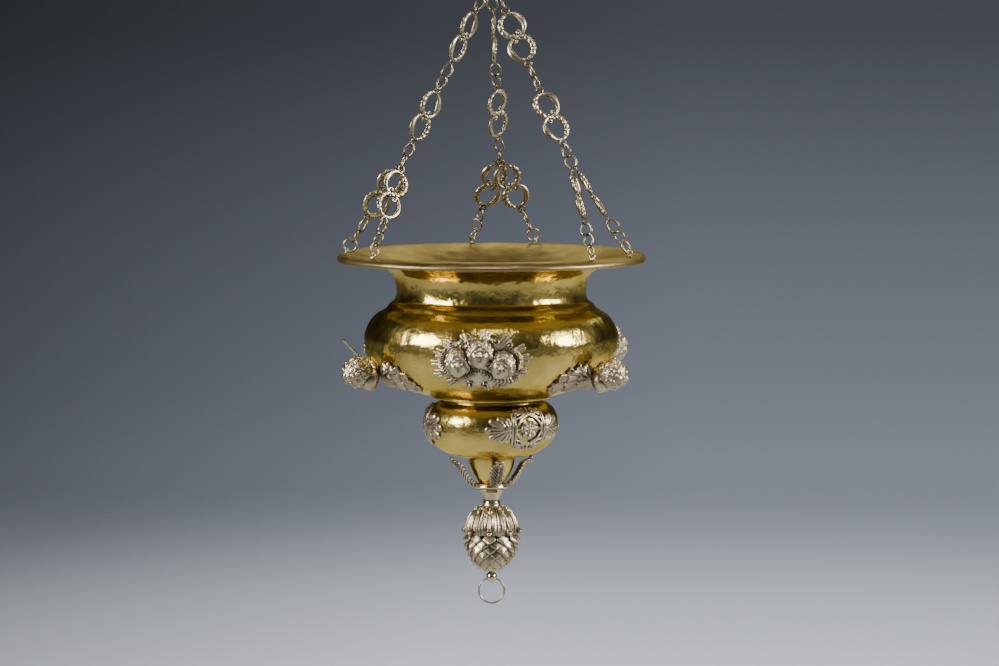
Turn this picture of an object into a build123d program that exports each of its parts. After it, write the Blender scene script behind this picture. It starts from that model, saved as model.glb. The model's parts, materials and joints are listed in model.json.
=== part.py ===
from build123d import *
import os
from math import cos, hypot, radians, sin, sqrt

os.makedirs("parts", exist_ok=True)

# A hanging church lamp or censer: a spun brass bowl under three cast silver chains.
# The origin is the hang point, the inside top of the suspension ring, and +Z is up.
# Azimuth 0 is the front, -Y, and azimuths grow towards +X. All sizes are millimetres.

# Rings at the top
suspension_inner = 14.0
suspension_wire = 1.5
gathering_radius = 10.0
gathering_wire = 1.2

# Chain elements: a pitch runs from bearing point to bearing point
fit_gap = 0.2
link_pitch = 55.4
link_ring_radius = 10.9
link_ring_wire = 1.15
link_eye_radius = 2.9
link_eye_wire = 0.85
s_pitch = 21.8
s_wire = 0.95
s_bead = 2.2
rim_ring_radius = 5.6
rim_ring_wire = 0.9
top_loop_spacing = 3.4
bridle_offset = 1.6
bridle_turn = 4.0

# Where the chains meet the rim
attach_radius = 128.5
attach_height = 2.6
pair_half_angle = 13.0
rim_eye_radius = 2.3
rim_eye_wire = 0.75
rim_pin_radius = 0.95
rim_hole_radius = 1.0

# Sheet and rod thicknesses
bowl_wall = 1.2
bulb_wall = 1.0
rod_radius = 3.0
rod_hole = 3.3
thread_fit = 0.05
plaque_gap = 0.15
pin_radius = 0.8
pin_hole = 0.85
plate_reach = 46

# Faces of the chain elements, in degrees about the chain line from the front view.
# turns: top S lower loop, link, S upper and lower loop, link, S upper and lower loop.
# bridle is the face of both bridle links, and rings are the faces of the two rim rings.
# shift is the place of the top loop on the gathering ring, in loop spacings towards +X.
# lead says which leg lies in front where the two share the last S loop: 1 is leg b.
chains = {
    "right": {
        "azimuth": 60,
        "shift": 1,
        "turns": (-80, 8, -80, -60, 30, -50, -5),
        "bridle": 80,
        "lead": 1,
        "rings": (65, 60),
    },
    "back": {
        "azimuth": 180,
        "shift": 0,
        "turns": (-5, 85, -5, -30, 47, -40, -75),
        "bridle": 10,
        "lead": -1,
        "rings": (0, 70),
    },
    "left": {
        "azimuth": -60,
        "shift": -1,
        "turns": (-30, 58, -30, -30, 47, -40, -70),
        "bridle": 22,
        "lead": 1,
        "rings": (0, 52),
    },
}

# Lengths of chain from the gathering ring to the split, and from the split to the rim
single_run = 3 * s_pitch + 2 * link_pitch
ring_pitch = 2 * (rim_ring_radius - rim_ring_wire)
leg_run = link_pitch + s_pitch + ring_pitch + rim_eye_radius - rim_eye_wire
half_spread = attach_radius * sin(radians(pair_half_angle))
attach_middle = attach_radius * cos(radians(pair_half_angle))
leg_height = sqrt(leg_run**2 - half_spread**2)
chain_length = single_run + leg_height
chain_rise = sqrt(chain_length**2 - attach_middle**2)

s_waist = s_wire + 0.05
s_loop_radius = (s_pitch / 2 + s_wire + fit_gap / 2 - s_waist) / 2

# Heights
suspension_radius = suspension_inner + suspension_wire
suspension_bottom = -suspension_inner - suspension_radius
gathering_top = suspension_bottom + suspension_wire + gathering_wire + fit_gap
gathering_centre = gathering_top - gathering_radius
gathering_bottom = gathering_centre - gathering_radius
top_contact = gathering_bottom + gathering_wire + fit_gap / 2
rim_crest = top_contact - chain_rise - attach_height


def radial(azimuth):
    return Vector(sin(radians(azimuth)), -cos(radians(azimuth)), 0)


def at_crest(points):
    # Heights in the outlines count from the crest of the rim.
    return [(radius, height + rim_crest) for radius, height in points]


def beside(points, distance):
    # Moves each point of an outline square to it: positive is towards the axis.
    moved = []
    for index, (radius, height) in enumerate(points):
        before = points[max(index - 1, 0)]
        after = points[min(index + 1, len(points) - 1)]
        run = (after[0] - before[0], after[1] - before[1])
        length = hypot(*run)
        moved.append(
            (radius + run[1] / length * distance, height - run[0] / length * distance)
        )
    return moved


def finish(part, name):
    part.label = name
    export_step(part, f"parts/{name}.step")


# Outlines of the spun brass, outside face, from the lip down
neck_line = at_crest(
    [
        (133.5, -7.0),
        (133.7, -5.0),
        (131.0, -2.6),
        (126.0, -1.2),
        (118.0, -2.6),
        (108.0, -6.2),
        (99.5, -10.4),
        (92.5, -14.4),
        (87.6, -18.0),
        (84.6, -23.0),
        (83.2, -29.0),
        (83.0, -36.0),
        (84.6, -41.4),
        (88.8, -44.6),
        (91.9, -48.8),
    ]
)
belly_line = at_crest(
    [
        (91.9, -48.8),
        (95.4, -51.0),
        (101.5, -54.6),
        (107.0, -61.5),
        (110.4, -69.5),
        (111.2, -77.0),
        (109.0, -90.0),
        (101.0, -103.5),
        (88.0, -113.0),
        (72.0, -119.5),
        (57.0, -124.5),
    ]
)
bulb_line = at_crest(
    [
        (44.4, -131.2),
        (49.0, -132.4),
        (54.0, -136.4),
        (57.4, -142.5),
        (58.3, -149.5),
        (56.6, -159.5),
        (49.5, -169.0),
        (40.0, -175.2),
        (30.0, -178.4),
        (21.0, -180.0),
    ]
)
drop_line = at_crest([(21.0, -180.0), (18.8, -189.0), (14.6, -197.5), (10.0, -203.0)])

bowl_floor = belly_line[-1][1]
bowl_floor_inside = beside(belly_line, bowl_wall)[-1][1]
moulding_flat = 51.3
moulding_thickness = 2.8
moulding_foot = bowl_floor - moulding_thickness
drop_foot = drop_line[-1][1]


def surface(line, azimuth, height):
    # A plane on a spun surface at the given height, facing out of it.
    curve = Spline(line)
    low, high = 0.0, 1.0
    for step in range(40):
        share = (low + high) / 2
        if (curve @ share).Y > height:
            low = share
        else:
            high = share
    slope = curve % share
    outward = radial(azimuth)
    normal = outward * -slope.Y + Vector(0, 0, 1) * slope.X
    across = Vector(0, 0, 1).cross(outward)
    origin = outward * (curve @ share).X + Vector(0, 0, height)
    return Plane(origin=origin, x_dir=across, z_dir=normal)


# Ornament places
plaque_azimuths = (0, 120, 240)
cherub_azimuths = (60, 180, 300)
strapwork_azimuths = (39, 159, 279)
leaf_azimuths = (17, 107, 197, 287)
plaque_height = rim_crest - 88.0
wing_height = rim_crest - 105.0
strapwork_height = rim_crest - 150.0

plaque_pins = [
    surface(belly_line, azimuth + side * 17, plaque_height)
    for azimuth in plaque_azimuths
    for side in (-1, 1)
]
wing_pins = [
    surface(belly_line, azimuth + side * 17, wing_height)
    for azimuth in cherub_azimuths
    for side in (-1, 1)
]
strapwork_pins = [
    surface(bulb_line, azimuth + side * 36, strapwork_height)
    for azimuth in strapwork_azimuths
    for side in (-1, 1)
]
attach_points = {
    (name, side): radial(chain["azimuth"] + side * pair_half_angle) * attach_radius
    + Vector(0, 0, rim_crest + attach_height)
    for name, chain in chains.items()
    for side in (-1, 1)
}

# Straps behind the winged heads: foot, bend, tip and hole as radius and height
strap_foot = (114.5, -96.5)
strap_bend = (129.0, -83.0)
strap_tip = (140.3, -71.5)
strap_hole = (135.8, -76.1)
strap_hole_radius = 0.95
strap_width = 5.8
strap_thickness = 1.2
strap_line = at_crest([strap_foot, strap_bend, strap_tip])
strap_back = beside(strap_line, -strap_thickness)

# Suspension ring and gathering ring, crossed so that each swings in the other
with BuildPart(Plane((0, 0, -suspension_inner), z_dir=(1, 0, 0))) as suspension_ring:
    Torus(suspension_radius, suspension_wire)
finish(suspension_ring.part, "suspension_ring")

with BuildPart(Plane((0, 0, gathering_centre), z_dir=(0, 1, 0))) as gathering_ring:
    Torus(gathering_radius, gathering_wire)
finish(gathering_ring.part, "gathering_ring")


# Chains
def facing(direction, angle):
    # The normal of a face turned by an angle about a chain line, from the front view.
    view = radial(5)
    front = (view - direction * view.dot(direction)).normalized()
    right = front.cross(direction)
    return front * cos(radians(angle)) + right * sin(radians(angle))


def make_s_link(name, top, direction, pitch, upper_normal, lower_normal):
    # Two wire loops, each in its own plane, joined by a bead at the waist.
    half = pitch / 2 + s_wire + fit_gap / 2
    centre = top + direction * pitch / 2
    loop_radius = (half - s_waist) / 2
    with BuildPart() as s_link:
        for side, normal in ((-1, upper_normal), (1, lower_normal)):
            middle = centre + direction * side * (half - loop_radius)
            with Locations(Plane(middle, normal.cross(direction), normal)):
                Torus(loop_radius, s_wire)
        seam = upper_normal + lower_normal * (1 if upper_normal.dot(lower_normal) >= 0 else -1)
        with Locations(Plane(centre, seam, direction)):
            Sphere(s_bead)
    finish(s_link.part, name)


def make_openwork_link(name, top, direction, normal):
    # A flat cast link: two large rings that share a waist, and an eye at each end.
    half = link_pitch / 2 + link_eye_wire + fit_gap / 2
    outside = link_ring_radius + link_ring_wire
    inside = link_ring_radius - link_ring_wire
    plane = Plane(top + direction * link_pitch / 2, direction, normal)
    with BuildPart(plane) as link:
        with BuildSketch(plane.offset(-link_ring_wire)):
            with Locations((-link_ring_radius, 0), (link_ring_radius, 0)):
                Circle(outside)
            with Locations((-link_ring_radius, 0), (link_ring_radius, 0)):
                Circle(inside, mode=Mode.SUBTRACT)
        extrude(amount=2 * link_ring_wire)
        with Locations((link_eye_radius - half, 0), (half - link_eye_radius, 0)):
            Torus(link_eye_radius, link_eye_wire)
    finish(link.part, name)


chain_axes = {}
rim_eyes_places = {}
for chain_name, chain in chains.items():
    ends = [attach_points[chain_name, side] for side in (-1, 1)]
    shift = chain["shift"] * top_loop_spacing
    rise = gathering_radius - sqrt(gathering_radius**2 - shift**2)
    start = Vector(shift, 0, top_contact + rise)
    middle = (ends[0] + ends[1]) * 0.5
    line = (middle - start).normalized()
    split = middle - line * leg_height
    across = (Vector(1, 0, 0) - line * line.X).normalized()
    turns = [facing(line, angle) for angle in chain["turns"]]
    top_pitch = (split - start).length - 2 * link_pitch - 2 * s_pitch

    # The single run, from the gathering ring to the split
    here = start
    for part_name, pitch, upper, lower in (
        ("top_s_link", top_pitch, across, turns[0]),
        ("upper_openwork_link", link_pitch, turns[1], None),
        ("upper_s_link", s_pitch, turns[2], turns[3]),
        ("lower_openwork_link", link_pitch, turns[4], None),
        ("lower_s_link", s_pitch, turns[5], turns[6]),
    ):
        name = f"{chain_name}_{part_name}"
        if lower is None:
            make_openwork_link(name, here, line, upper)
        else:
            make_s_link(name, here, line, pitch, upper, lower)
        chain_axes[name] = (here, line, upper)
        here = here + line * pitch

    # The bridle: two legs spread from the split to two eyes on the rim
    bridle_normal = facing(line, chain["bridle"])
    crown_rise = s_loop_radius - sqrt(s_loop_radius**2 - bridle_offset**2)
    for leg, side in (("a", -1), ("b", 1)):
        end = ends[(side + 1) // 2]
        other = ends[(1 - side) // 2]
        lead = side * chain["lead"]
        begin = split + bridle_normal * lead * bridle_offset - line * (crown_rise + 0.1)
        run = (end - begin).normalized()
        flat = (bridle_normal - run * bridle_normal.dot(run)).normalized()
        inward = (other - end) - run * (other - end).dot(run)
        inward = (inward - flat * inward.dot(flat)).normalized()
        tilt = radians(bridle_turn)
        face = flat * cos(tilt) - inward * lead * sin(tilt)
        ring_face = facing(run, chain["rings"][(side + 1) // 2])
        eye_reach = rim_eye_radius - rim_eye_wire
        lower_pitch = (end - begin).length - link_pitch - ring_pitch - eye_reach
        after_link = begin + run * link_pitch
        after_s = after_link + run * lower_pitch
        make_openwork_link(f"{chain_name}_bridle_link_{leg}", begin, run, face)
        make_s_link(
            f"{chain_name}_bridle_s_link_{leg}",
            after_link,
            run,
            lower_pitch,
            run.cross(face),
            run.cross(ring_face),
        )
        with BuildPart(Plane(after_s + run * ring_pitch / 2, run, ring_face)) as rim_ring:
            Torus(rim_ring_radius, rim_ring_wire)
        finish(rim_ring.part, f"{chain_name}_rim_ring_{leg}")
        opening = 1 if run.cross(face).dot(inward) * lead < 0 else -1
        chain_axes[f"{chain_name}_bridle_link_{leg}"] = (begin, run * opening, face)
        chain_axes[f"{chain_name}_bridle_s_link_{leg}"] = (after_link, run, run.cross(face))
        chain_axes[f"{chain_name}_rim_ring_{leg}"] = (after_s, run, ring_face)
        rim_eyes_places[chain_name, leg] = Plane(end, run, run.cross(ring_face))

# Small eyes riveted through the rim
with BuildPart() as rim_eyes:
    for place in rim_eyes_places.values():
        with Locations(place):
            Torus(rim_eye_radius, rim_eye_wire)
        foot = place.origin - Vector(0, 0, attach_height)
        with Locations(foot + Vector(0, 0, -1.3)):
            Cylinder(rim_pin_radius, 3.2)
        with Locations(foot + Vector(0, 0, -2.9)):
            Cylinder(1.8, 0.8)
finish(rim_eyes.part, "rim_eyes")


# Spun brass: rim and neck are one spinning, soldered to the bowl along the ridge
with BuildPart() as rim_and_neck:
    neck_inside = beside(neck_line, bowl_wall)
    seam_inside = beside(belly_line, bowl_wall)[0]
    with BuildSketch(Plane.XZ):
        with BuildLine():
            Spline(neck_line)
            Line(neck_line[-1], seam_inside)
            Line(seam_inside, neck_inside[-1])
            Spline(neck_inside)
            Line(neck_inside[0], neck_line[0])
        make_face()
    revolve(axis=Axis.Z)
    with Locations(*attach_points.values()):
        Cylinder(rim_hole_radius, 14, mode=Mode.SUBTRACT)
finish(rim_and_neck.part, "rim_and_neck")

with BuildPart() as bowl:
    belly_inside = beside(belly_line, bowl_wall)
    with BuildSketch(Plane.XZ):
        with BuildLine():
            Spline(belly_line)
            Line(belly_line[-1], (rod_hole, bowl_floor))
            Line((rod_hole, bowl_floor), (rod_hole, bowl_floor_inside))
            Line((rod_hole, bowl_floor_inside), belly_inside[-1])
            Spline(belly_inside)
            Line(belly_inside[0], belly_line[0])
        make_face()
    revolve(axis=Axis.Z)
    with Locations(*plaque_pins, *wing_pins):
        Cylinder(pin_hole, 8, mode=Mode.SUBTRACT)
finish(bowl.part, "bowl")

with BuildPart() as base_moulding:
    with BuildSketch(Plane.XZ):
        with BuildLine():
            Polyline((rod_hole, moulding_foot), (rod_hole, bowl_floor), (moulding_flat, bowl_floor))
            ThreePointArc(
                (moulding_flat, bowl_floor),
                (moulding_flat + moulding_thickness / 2, bowl_floor - moulding_thickness / 2),
                (moulding_flat, moulding_foot),
            )
            Line((moulding_flat, moulding_foot), (rod_hole, moulding_foot))
        make_face()
    revolve(axis=Axis.Z)
finish(base_moulding.part, "base_moulding")

with BuildPart() as lower_bulb:
    bulb_inside = beside(bulb_line, bulb_wall)
    drop_inside = beside(drop_line, bulb_wall)
    bulb_top = (bulb_line[0][0], moulding_foot)
    bulb_top_inside = (bulb_line[0][0] - bulb_wall, moulding_foot)
    bulb_throat_inside = (bulb_line[0][0] - bulb_wall, moulding_foot - 3)
    drop_inside_foot = drop_foot + bulb_wall
    with BuildSketch(Plane.XZ):
        with BuildLine():
            Line(bulb_top, bulb_line[0])
            Spline(bulb_line)
            Spline(drop_line)
            Line(drop_line[-1], (rod_hole, drop_foot))
            Line((rod_hole, drop_foot), (rod_hole, drop_inside_foot))
            Line((rod_hole, drop_inside_foot), drop_inside[-1])
            Spline(drop_inside)
            Line(drop_inside[0], bulb_inside[-1])
            Spline(bulb_inside)
            Polyline(bulb_inside[0], bulb_throat_inside, bulb_top_inside, bulb_top)
        make_face()
    revolve(axis=Axis.Z)
    with Locations(*strapwork_pins):
        Cylinder(pin_hole, 8, mode=Mode.SUBTRACT)
finish(lower_bulb.part, "lower_bulb")


# Cast ornaments: curved plates that follow the bowl or the bulb
plaque_thickness = 2.4
plaque_half_width = 45.0
plaque_half_height = 28.5
plaque_head_radius = 8.3
plaque_heads = ((-18, 1, 4.5), (0.5, 8, 5.5), (16.5, -1.5, 4.5))
wing_half_width = 39.0
wing_half_height = 17.0
head_radius = 13.2
head_reach = 127.0
head_height = rim_crest - 100.5
neck_radius = 8.0
strapwork_thickness = 1.8
strapwork_frame = [(-18, 15), (0, 19), (18, 15), (24, 0), (18, -15), (0, -19), (-18, -15), (-24, 0)]
palmette_reach = 31.0
palmette_half_width = 10.0
palmette_half_height = 11.0


def slice_plane(azimuth):
    # An upright plane through the axis, drawn outwards along the azimuth.
    return Plane((0, 0, 0), radial(azimuth), radial(azimuth).cross(Vector(0, 0, 1)))


def add_plate(line, thickness, azimuth):
    near = beside(line, -plaque_gap)
    far = beside(line, -plaque_gap - thickness)
    with BuildSketch(slice_plane(azimuth - plate_reach)) as profile:
        with BuildLine():
            Spline(near)
            Line(near[-1], far[-1])
            Spline(far)
            Line(far[0], near[0])
        make_face()
    revolve(profile.sketch, axis=Axis.Z, revolution_arc=2 * plate_reach)


def clear_core(line, azimuth):
    near = beside(line, -plaque_gap)
    with BuildSketch(slice_plane(azimuth - plate_reach - 3)) as profile:
        with BuildLine():
            Spline(near)
            Polyline(near[-1], (20, near[-1][1]), (20, near[0][1]), near[0])
        make_face()
    revolve(profile.sketch, axis=Axis.Z, revolution_arc=2 * plate_reach + 6, mode=Mode.SUBTRACT)


for number, azimuth in enumerate(plaque_azimuths, 1):
    with BuildPart() as cherub_trio_plaque:
        add_plate(belly_line[1:], plaque_thickness, azimuth)
        place = surface(belly_line, azimuth, plaque_height)
        with BuildSketch(Plane(Vector(0, 0, plaque_height), place.x_dir, radial(azimuth))):
            Ellipse(plaque_half_width, plaque_half_height)
        extrude(amount=150, mode=Mode.INTERSECT)
        with Locations(place):
            with Locations(*plaque_heads):
                Sphere(plaque_head_radius)
        clear_core(belly_line[1:], azimuth)
        with Locations(*plaque_pins):
            Cylinder(pin_hole, 30, mode=Mode.SUBTRACT)
    finish(cherub_trio_plaque.part, f"cherub_trio_plaque_{number}")

for number, azimuth in enumerate(cherub_azimuths, 1):
    with BuildPart() as winged_cherub:
        add_plate(belly_line[4:], plaque_thickness, azimuth)
        place = surface(belly_line, azimuth, wing_height)
        with BuildSketch(place.offset(-12)):
            Ellipse(wing_half_width, wing_half_height)
        extrude(amount=40, mode=Mode.INTERSECT)
        head = radial(azimuth) * head_reach + Vector(0, 0, head_height)
        with Locations(head):
            Sphere(head_radius)
        neck_axis = Plane(head - radial(azimuth) * 25, z_dir=radial(azimuth))
        with Locations(neck_axis):
            Cylinder(neck_radius, 20, align=(Align.CENTER, Align.CENTER, Align.MIN))
        clear_core(belly_line[4:], azimuth)
        # The strap lies in a slot along the back of the head.
        slot_line = beside(strap_line, 0.05)
        slot_back = beside(strap_line, -30)
        with BuildSketch(slice_plane(azimuth)):
            Polygon([*slot_line, *reversed(slot_back)], align=None)
        extrude(amount=strap_width / 2 + 0.05, both=True, mode=Mode.SUBTRACT)
        with Locations(*wing_pins):
            Cylinder(pin_hole, 30, mode=Mode.SUBTRACT)
    finish(winged_cherub.part, f"winged_cherub_{number}")

for number, azimuth in enumerate(strapwork_azimuths, 1):
    with BuildPart() as strapwork:
        add_plate(bulb_line[:-1], strapwork_thickness, azimuth)
        across = Vector(0, 0, 1).cross(radial(azimuth))
        with BuildSketch(Plane(Vector(0, 0, strapwork_height), across, radial(azimuth))):
            Polygon(strapwork_frame, align=None)
            with Locations((-palmette_reach, 0), (palmette_reach, 0)):
                Ellipse(palmette_half_width, palmette_half_height)
        extrude(amount=90, mode=Mode.INTERSECT)
        with Locations(*strapwork_pins):
            Cylinder(pin_hole, 12, mode=Mode.SUBTRACT)
    finish(strapwork.part, f"strapwork_ornament_{number}")


# Four leaf straps cast on one washer, rising round the drop
leaf_thickness = 1.1
leaf_half_width = 6.2
leaf_washer_radius = 14.5
leaf_curl_radius = 1.9
with BuildPart() as leaf_calyx:
    with BuildSketch(Plane.XY.offset(drop_foot - 1)):
        Circle(leaf_washer_radius)
        Circle(rod_hole, mode=Mode.SUBTRACT)
    extrude(amount=0.9)
    leaf_line = at_crest(
        [(12.5, -203.7), (19.5, -199.5), (25.0, -191.5), (29.0, -185.0), (35.0, -181.6)]
    )
    leaf_back = beside(leaf_line, -leaf_thickness)
    for azimuth in leaf_azimuths:
        with BuildSketch(slice_plane(azimuth)):
            with BuildLine():
                Spline(leaf_line)
                Line(leaf_line[-1], leaf_back[-1])
                Spline(leaf_back)
                Line(leaf_back[0], leaf_line[0])
            make_face()
            with Locations((35.6, rim_crest - 180.3)):
                Circle(leaf_curl_radius)
        extrude(amount=leaf_half_width, both=True)
finish(leaf_calyx.part, "leaf_calyx")

# Finial: turned collar and neck, pine cone, ball and pull ring
collar_top = drop_foot - 1.1
neck_foot = rim_crest - 220.0
with BuildPart() as finial_collar:
    with BuildSketch(Plane.XZ):
        with BuildLine():
            Polyline((rod_hole, neck_foot), (rod_hole, collar_top), (13.8, collar_top))
            ThreePointArc((13.8, collar_top), *at_crest([(14.5, -205.8), (13.0, -207.4)]))
            Line(*at_crest([(13.0, -207.4), (11.4, -208.6)]))
            Spline(at_crest([(11.4, -208.6), (9.6, -212.0), (7.4, -216.0), (7.3, -220.0)]))
            Line((7.3, neck_foot), (rod_hole, neck_foot))
        make_face()
    revolve(axis=Axis.Z)
finish(finial_collar.part, "finial_collar")

cone_foot = rim_crest - 281.0
ball_centre = rim_crest - 286.0
ball_radius = 4.8
ball_stem = 2.0
knob_reach = 23.8
knob_count = 8
knob_radius = 2.8
with BuildPart() as pine_cone:
    with BuildSketch(Plane.XZ):
        with BuildLine():
            Polyline((0, cone_foot), (0, neck_foot), (7.4, neck_foot))
            Spline(
                (7.4, neck_foot),
                *at_crest([(12.3, -225.5), (18.2, -230.5), (21.8, -239.0), (21.8, -249.0)]),
                *at_crest([(19.8, -262.0), (14.8, -273.5), (5.5, -281.0)]),
            )
            Line((5.5, cone_foot), (0, cone_foot))
        make_face()
    revolve(axis=Axis.Z)
    with Locations((0, 0, rim_crest - 245)):
        with PolarLocations(knob_reach, knob_count):
            Sphere(knob_radius)
    with Locations((0, 0, neck_foot)):
        Cylinder(
            rod_radius + thread_fit,
            42,
            align=(Align.CENTER, Align.CENTER, Align.MAX),
            mode=Mode.SUBTRACT,
        )
    with Locations((0, 0, cone_foot)):
        Cylinder(
            ball_stem + thread_fit,
            9,
            align=(Align.CENTER, Align.CENTER, Align.MIN),
            mode=Mode.SUBTRACT,
        )
finish(pine_cone.part, "pine_cone")

pull_ring_radius = 11.15
pull_ring_wire = 0.85
pull_ring_top = rim_crest - 286.85
pull_ring_facing = radial(5)
pull_ring_swing = Vector(0, 0, 1).cross(pull_ring_facing)
with BuildPart() as end_ball:
    with Locations((0, 0, ball_centre)):
        Sphere(ball_radius)
        Cylinder(ball_stem, 11.5, align=(Align.CENTER, Align.CENTER, Align.MIN))
    # The cross hole opens at both mouths, so that the ring can swing in it.
    with BuildSketch(Plane((0, 0, pull_ring_top), pull_ring_swing, pull_ring_facing)):
        with BuildLine():
            Polyline((0, 0), (0, 1.15), (5.6, 2.7), (5.6, 0), close=True)
        make_face()
        mirror(about=Plane.YZ)
    revolve(axis=Axis((0, 0, pull_ring_top), pull_ring_swing), mode=Mode.SUBTRACT)
finish(end_ball.part, "end_ball")

ring_centre = Vector(0, 0, pull_ring_top - pull_ring_radius)
with BuildPart(Plane(ring_centre, z_dir=pull_ring_facing)) as pull_ring:
    Torus(pull_ring_radius, pull_ring_wire)
finish(pull_ring.part, "pull_ring")

# Tie rod with its nut and washer, which clamp bowl, moulding, bulb, leaves and finial
washer_radius = 9.0
washer_thickness = 1.2
nut_radius = 5.77
nut_height = 5.0
rod_foot = neck_foot - 40
rod_top = bowl_floor_inside + 9
with BuildPart() as tie_nut:
    with BuildSketch(Plane.XY.offset(bowl_floor_inside)):
        Circle(washer_radius)
    extrude(amount=washer_thickness)
    with BuildSketch(Plane.XY.offset(bowl_floor_inside + washer_thickness)):
        RegularPolygon(nut_radius, 6)
    extrude(amount=nut_height)
    with Locations((0, 0, bowl_floor_inside)):
        Cylinder(rod_radius + thread_fit, 20, mode=Mode.SUBTRACT)

with BuildPart() as tie_rod:
    with BuildSketch(Plane.XY.offset(rod_foot)):
        Circle(rod_radius)
    extrude(amount=rod_top - rod_foot)
    chamfer(tie_rod.edges().group_by(Axis.Z)[-1], 0.5)
    add(tie_nut.part)
finish(tie_rod.part, "tie_rod_and_nut")

# Loose pan on the floor of the bowl
pan_line = [(44, 0.15), (44, 10.5), (58, 13.5), (67, 21.0), (71.5, 31.0), (74.0, 33.0)]
pan_wall = 1.0
pan_outline = [(radius, bowl_floor_inside + height) for radius, height in pan_line]
with BuildPart() as fire_pan:
    foot_outer, *pan_side = pan_outline
    foot_inner = (foot_outer[0] - pan_wall, foot_outer[1])
    foot_root = (foot_inner[0], pan_side[0][1])
    pan_inside = [(radius - 0.35, height + pan_wall) for radius, height in pan_side]
    with BuildSketch(Plane.XZ):
        with BuildLine():
            Polyline(foot_root, foot_inner, foot_outer, pan_side[0])
            Spline(pan_side)
            Line(pan_side[-1], pan_inside[-1])
            Spline(list(reversed(pan_inside)))
            Polyline(pan_inside[0], (0, pan_inside[0][1]), (0, pan_side[0][1]), foot_root)
        make_face()
    revolve(axis=Axis.Z)
finish(fire_pan.part, "fire_pan")

# Small rivets that hold the castings: length of shank, height and radius of the round head
bowl_rivet = (6.6, 3.9, 1.25)
bulb_rivet = (5.0, 3.15, 1.1)
with BuildPart() as ornament_pins:
    for pin_places, (shank, head_rise, pin_head) in (
        (plaque_pins + wing_pins, bowl_rivet),
        (strapwork_pins, bulb_rivet),
    ):
        with Locations(*pin_places):
            Cylinder(pin_radius, shank)
            with Locations((0, 0, head_rise)):
                Sphere(pin_head)
finish(ornament_pins.part, "ornament_pins")

# Flat straps behind the winged heads, bent outwards, each with a hole near its end
for number, azimuth in enumerate(cherub_azimuths, 1):
    with BuildPart() as strap_tab:
        with BuildSketch(slice_plane(azimuth)):
            Polygon([*strap_line, *reversed(strap_back)], align=None)
        extrude(amount=strap_width / 2, both=True)
        lean = Vector(strap_tip[0] - strap_bend[0], strap_tip[1] - strap_bend[1]).normalized()
        hole_axis = radial(azimuth) * -lean.Y + Vector(0, 0, 1) * lean.X
        hole_middle = radial(azimuth) * strap_hole[0] + Vector(0, 0, strap_hole[1] + rim_crest)
        with Locations(Plane(hole_middle, z_dir=hole_axis)):
            Cylinder(strap_hole_radius, 8, mode=Mode.SUBTRACT)
    finish(strap_tab.part, f"strap_tab_{number}")
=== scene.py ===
import json
from math import cos, pi, radians, sin, sqrt
import bmesh
import bpy
import numpy as np
from mathutils import Matrix, Vector


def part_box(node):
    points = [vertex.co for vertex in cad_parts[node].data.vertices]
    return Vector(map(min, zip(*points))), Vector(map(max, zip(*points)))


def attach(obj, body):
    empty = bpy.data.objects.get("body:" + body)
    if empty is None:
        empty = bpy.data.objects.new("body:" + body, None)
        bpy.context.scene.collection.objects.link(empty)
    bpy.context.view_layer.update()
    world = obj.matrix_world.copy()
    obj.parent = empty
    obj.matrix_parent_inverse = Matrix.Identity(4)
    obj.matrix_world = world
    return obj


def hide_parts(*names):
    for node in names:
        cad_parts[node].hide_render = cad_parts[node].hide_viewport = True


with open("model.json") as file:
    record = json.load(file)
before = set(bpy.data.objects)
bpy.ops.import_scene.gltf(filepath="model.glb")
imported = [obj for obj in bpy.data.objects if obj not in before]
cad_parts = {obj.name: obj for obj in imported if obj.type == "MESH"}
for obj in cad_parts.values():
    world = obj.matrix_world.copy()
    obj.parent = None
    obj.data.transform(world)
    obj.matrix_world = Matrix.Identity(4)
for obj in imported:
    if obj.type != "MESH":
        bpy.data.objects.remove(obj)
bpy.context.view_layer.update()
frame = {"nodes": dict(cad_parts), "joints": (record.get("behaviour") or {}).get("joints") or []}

scene = bpy.context.scene
mm = 0.001
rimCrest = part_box("rim_and_neck")[1][2]
rimCrestMm = rimCrest / mm
lampBody = "lamp"
rng = np.random.default_rng(12)
print("frame loaded, rim crest", round(rimCrest, 4))


# small helpers
def radial(azimuth):
    a = radians(azimuth)
    return np.array([sin(a), -cos(a), 0.0])


def unitVector(v):
    return v / np.linalg.norm(v)


def smoothLine(points, steps):
    # a Catmull-Rom curve through the points of an outline
    p = np.array(points, float)
    ends = np.vstack([2 * p[0] - p[1], p, 2 * p[-1] - p[-2]])
    out = []
    for i in range(1, len(ends) - 2):
        a, b, c, d = ends[i - 1 : i + 3]
        for t in np.linspace(0, 1, steps, endpoint=False):
            out.append(0.5 * (2 * b + (c - a) * t + (2 * a - 5 * b + 4 * c - d) * t * t
                              + (3 * b - a - 3 * c + d) * t ** 3))
    out.append(p[-1])
    return np.array(out)


def meshObject(name, verts, faces, material, smooth=True):
    mesh = bpy.data.meshes.new(name)
    mesh.from_pydata([tuple(v) for v in verts], [], [tuple(f) for f in faces])
    mesh.update()
    obj = bpy.data.objects.new(name, mesh)
    scene.collection.objects.link(obj)
    mesh.materials.append(material)
    if smooth:
        mesh.polygons.foreach_set("use_smooth", [True] * len(mesh.polygons))
    return obj


def gridFaces(rows, cols, closeRows=False, closeCols=False):
    faces = []
    for i in range(rows if closeRows else rows - 1):
        for j in range(cols if closeCols else cols - 1):
            a, b = i * cols + j, i * cols + (j + 1) % cols
            k = ((i + 1) % rows) * cols
            faces.append((a, b, k + (j + 1) % cols, k + j))
    return faces


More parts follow.
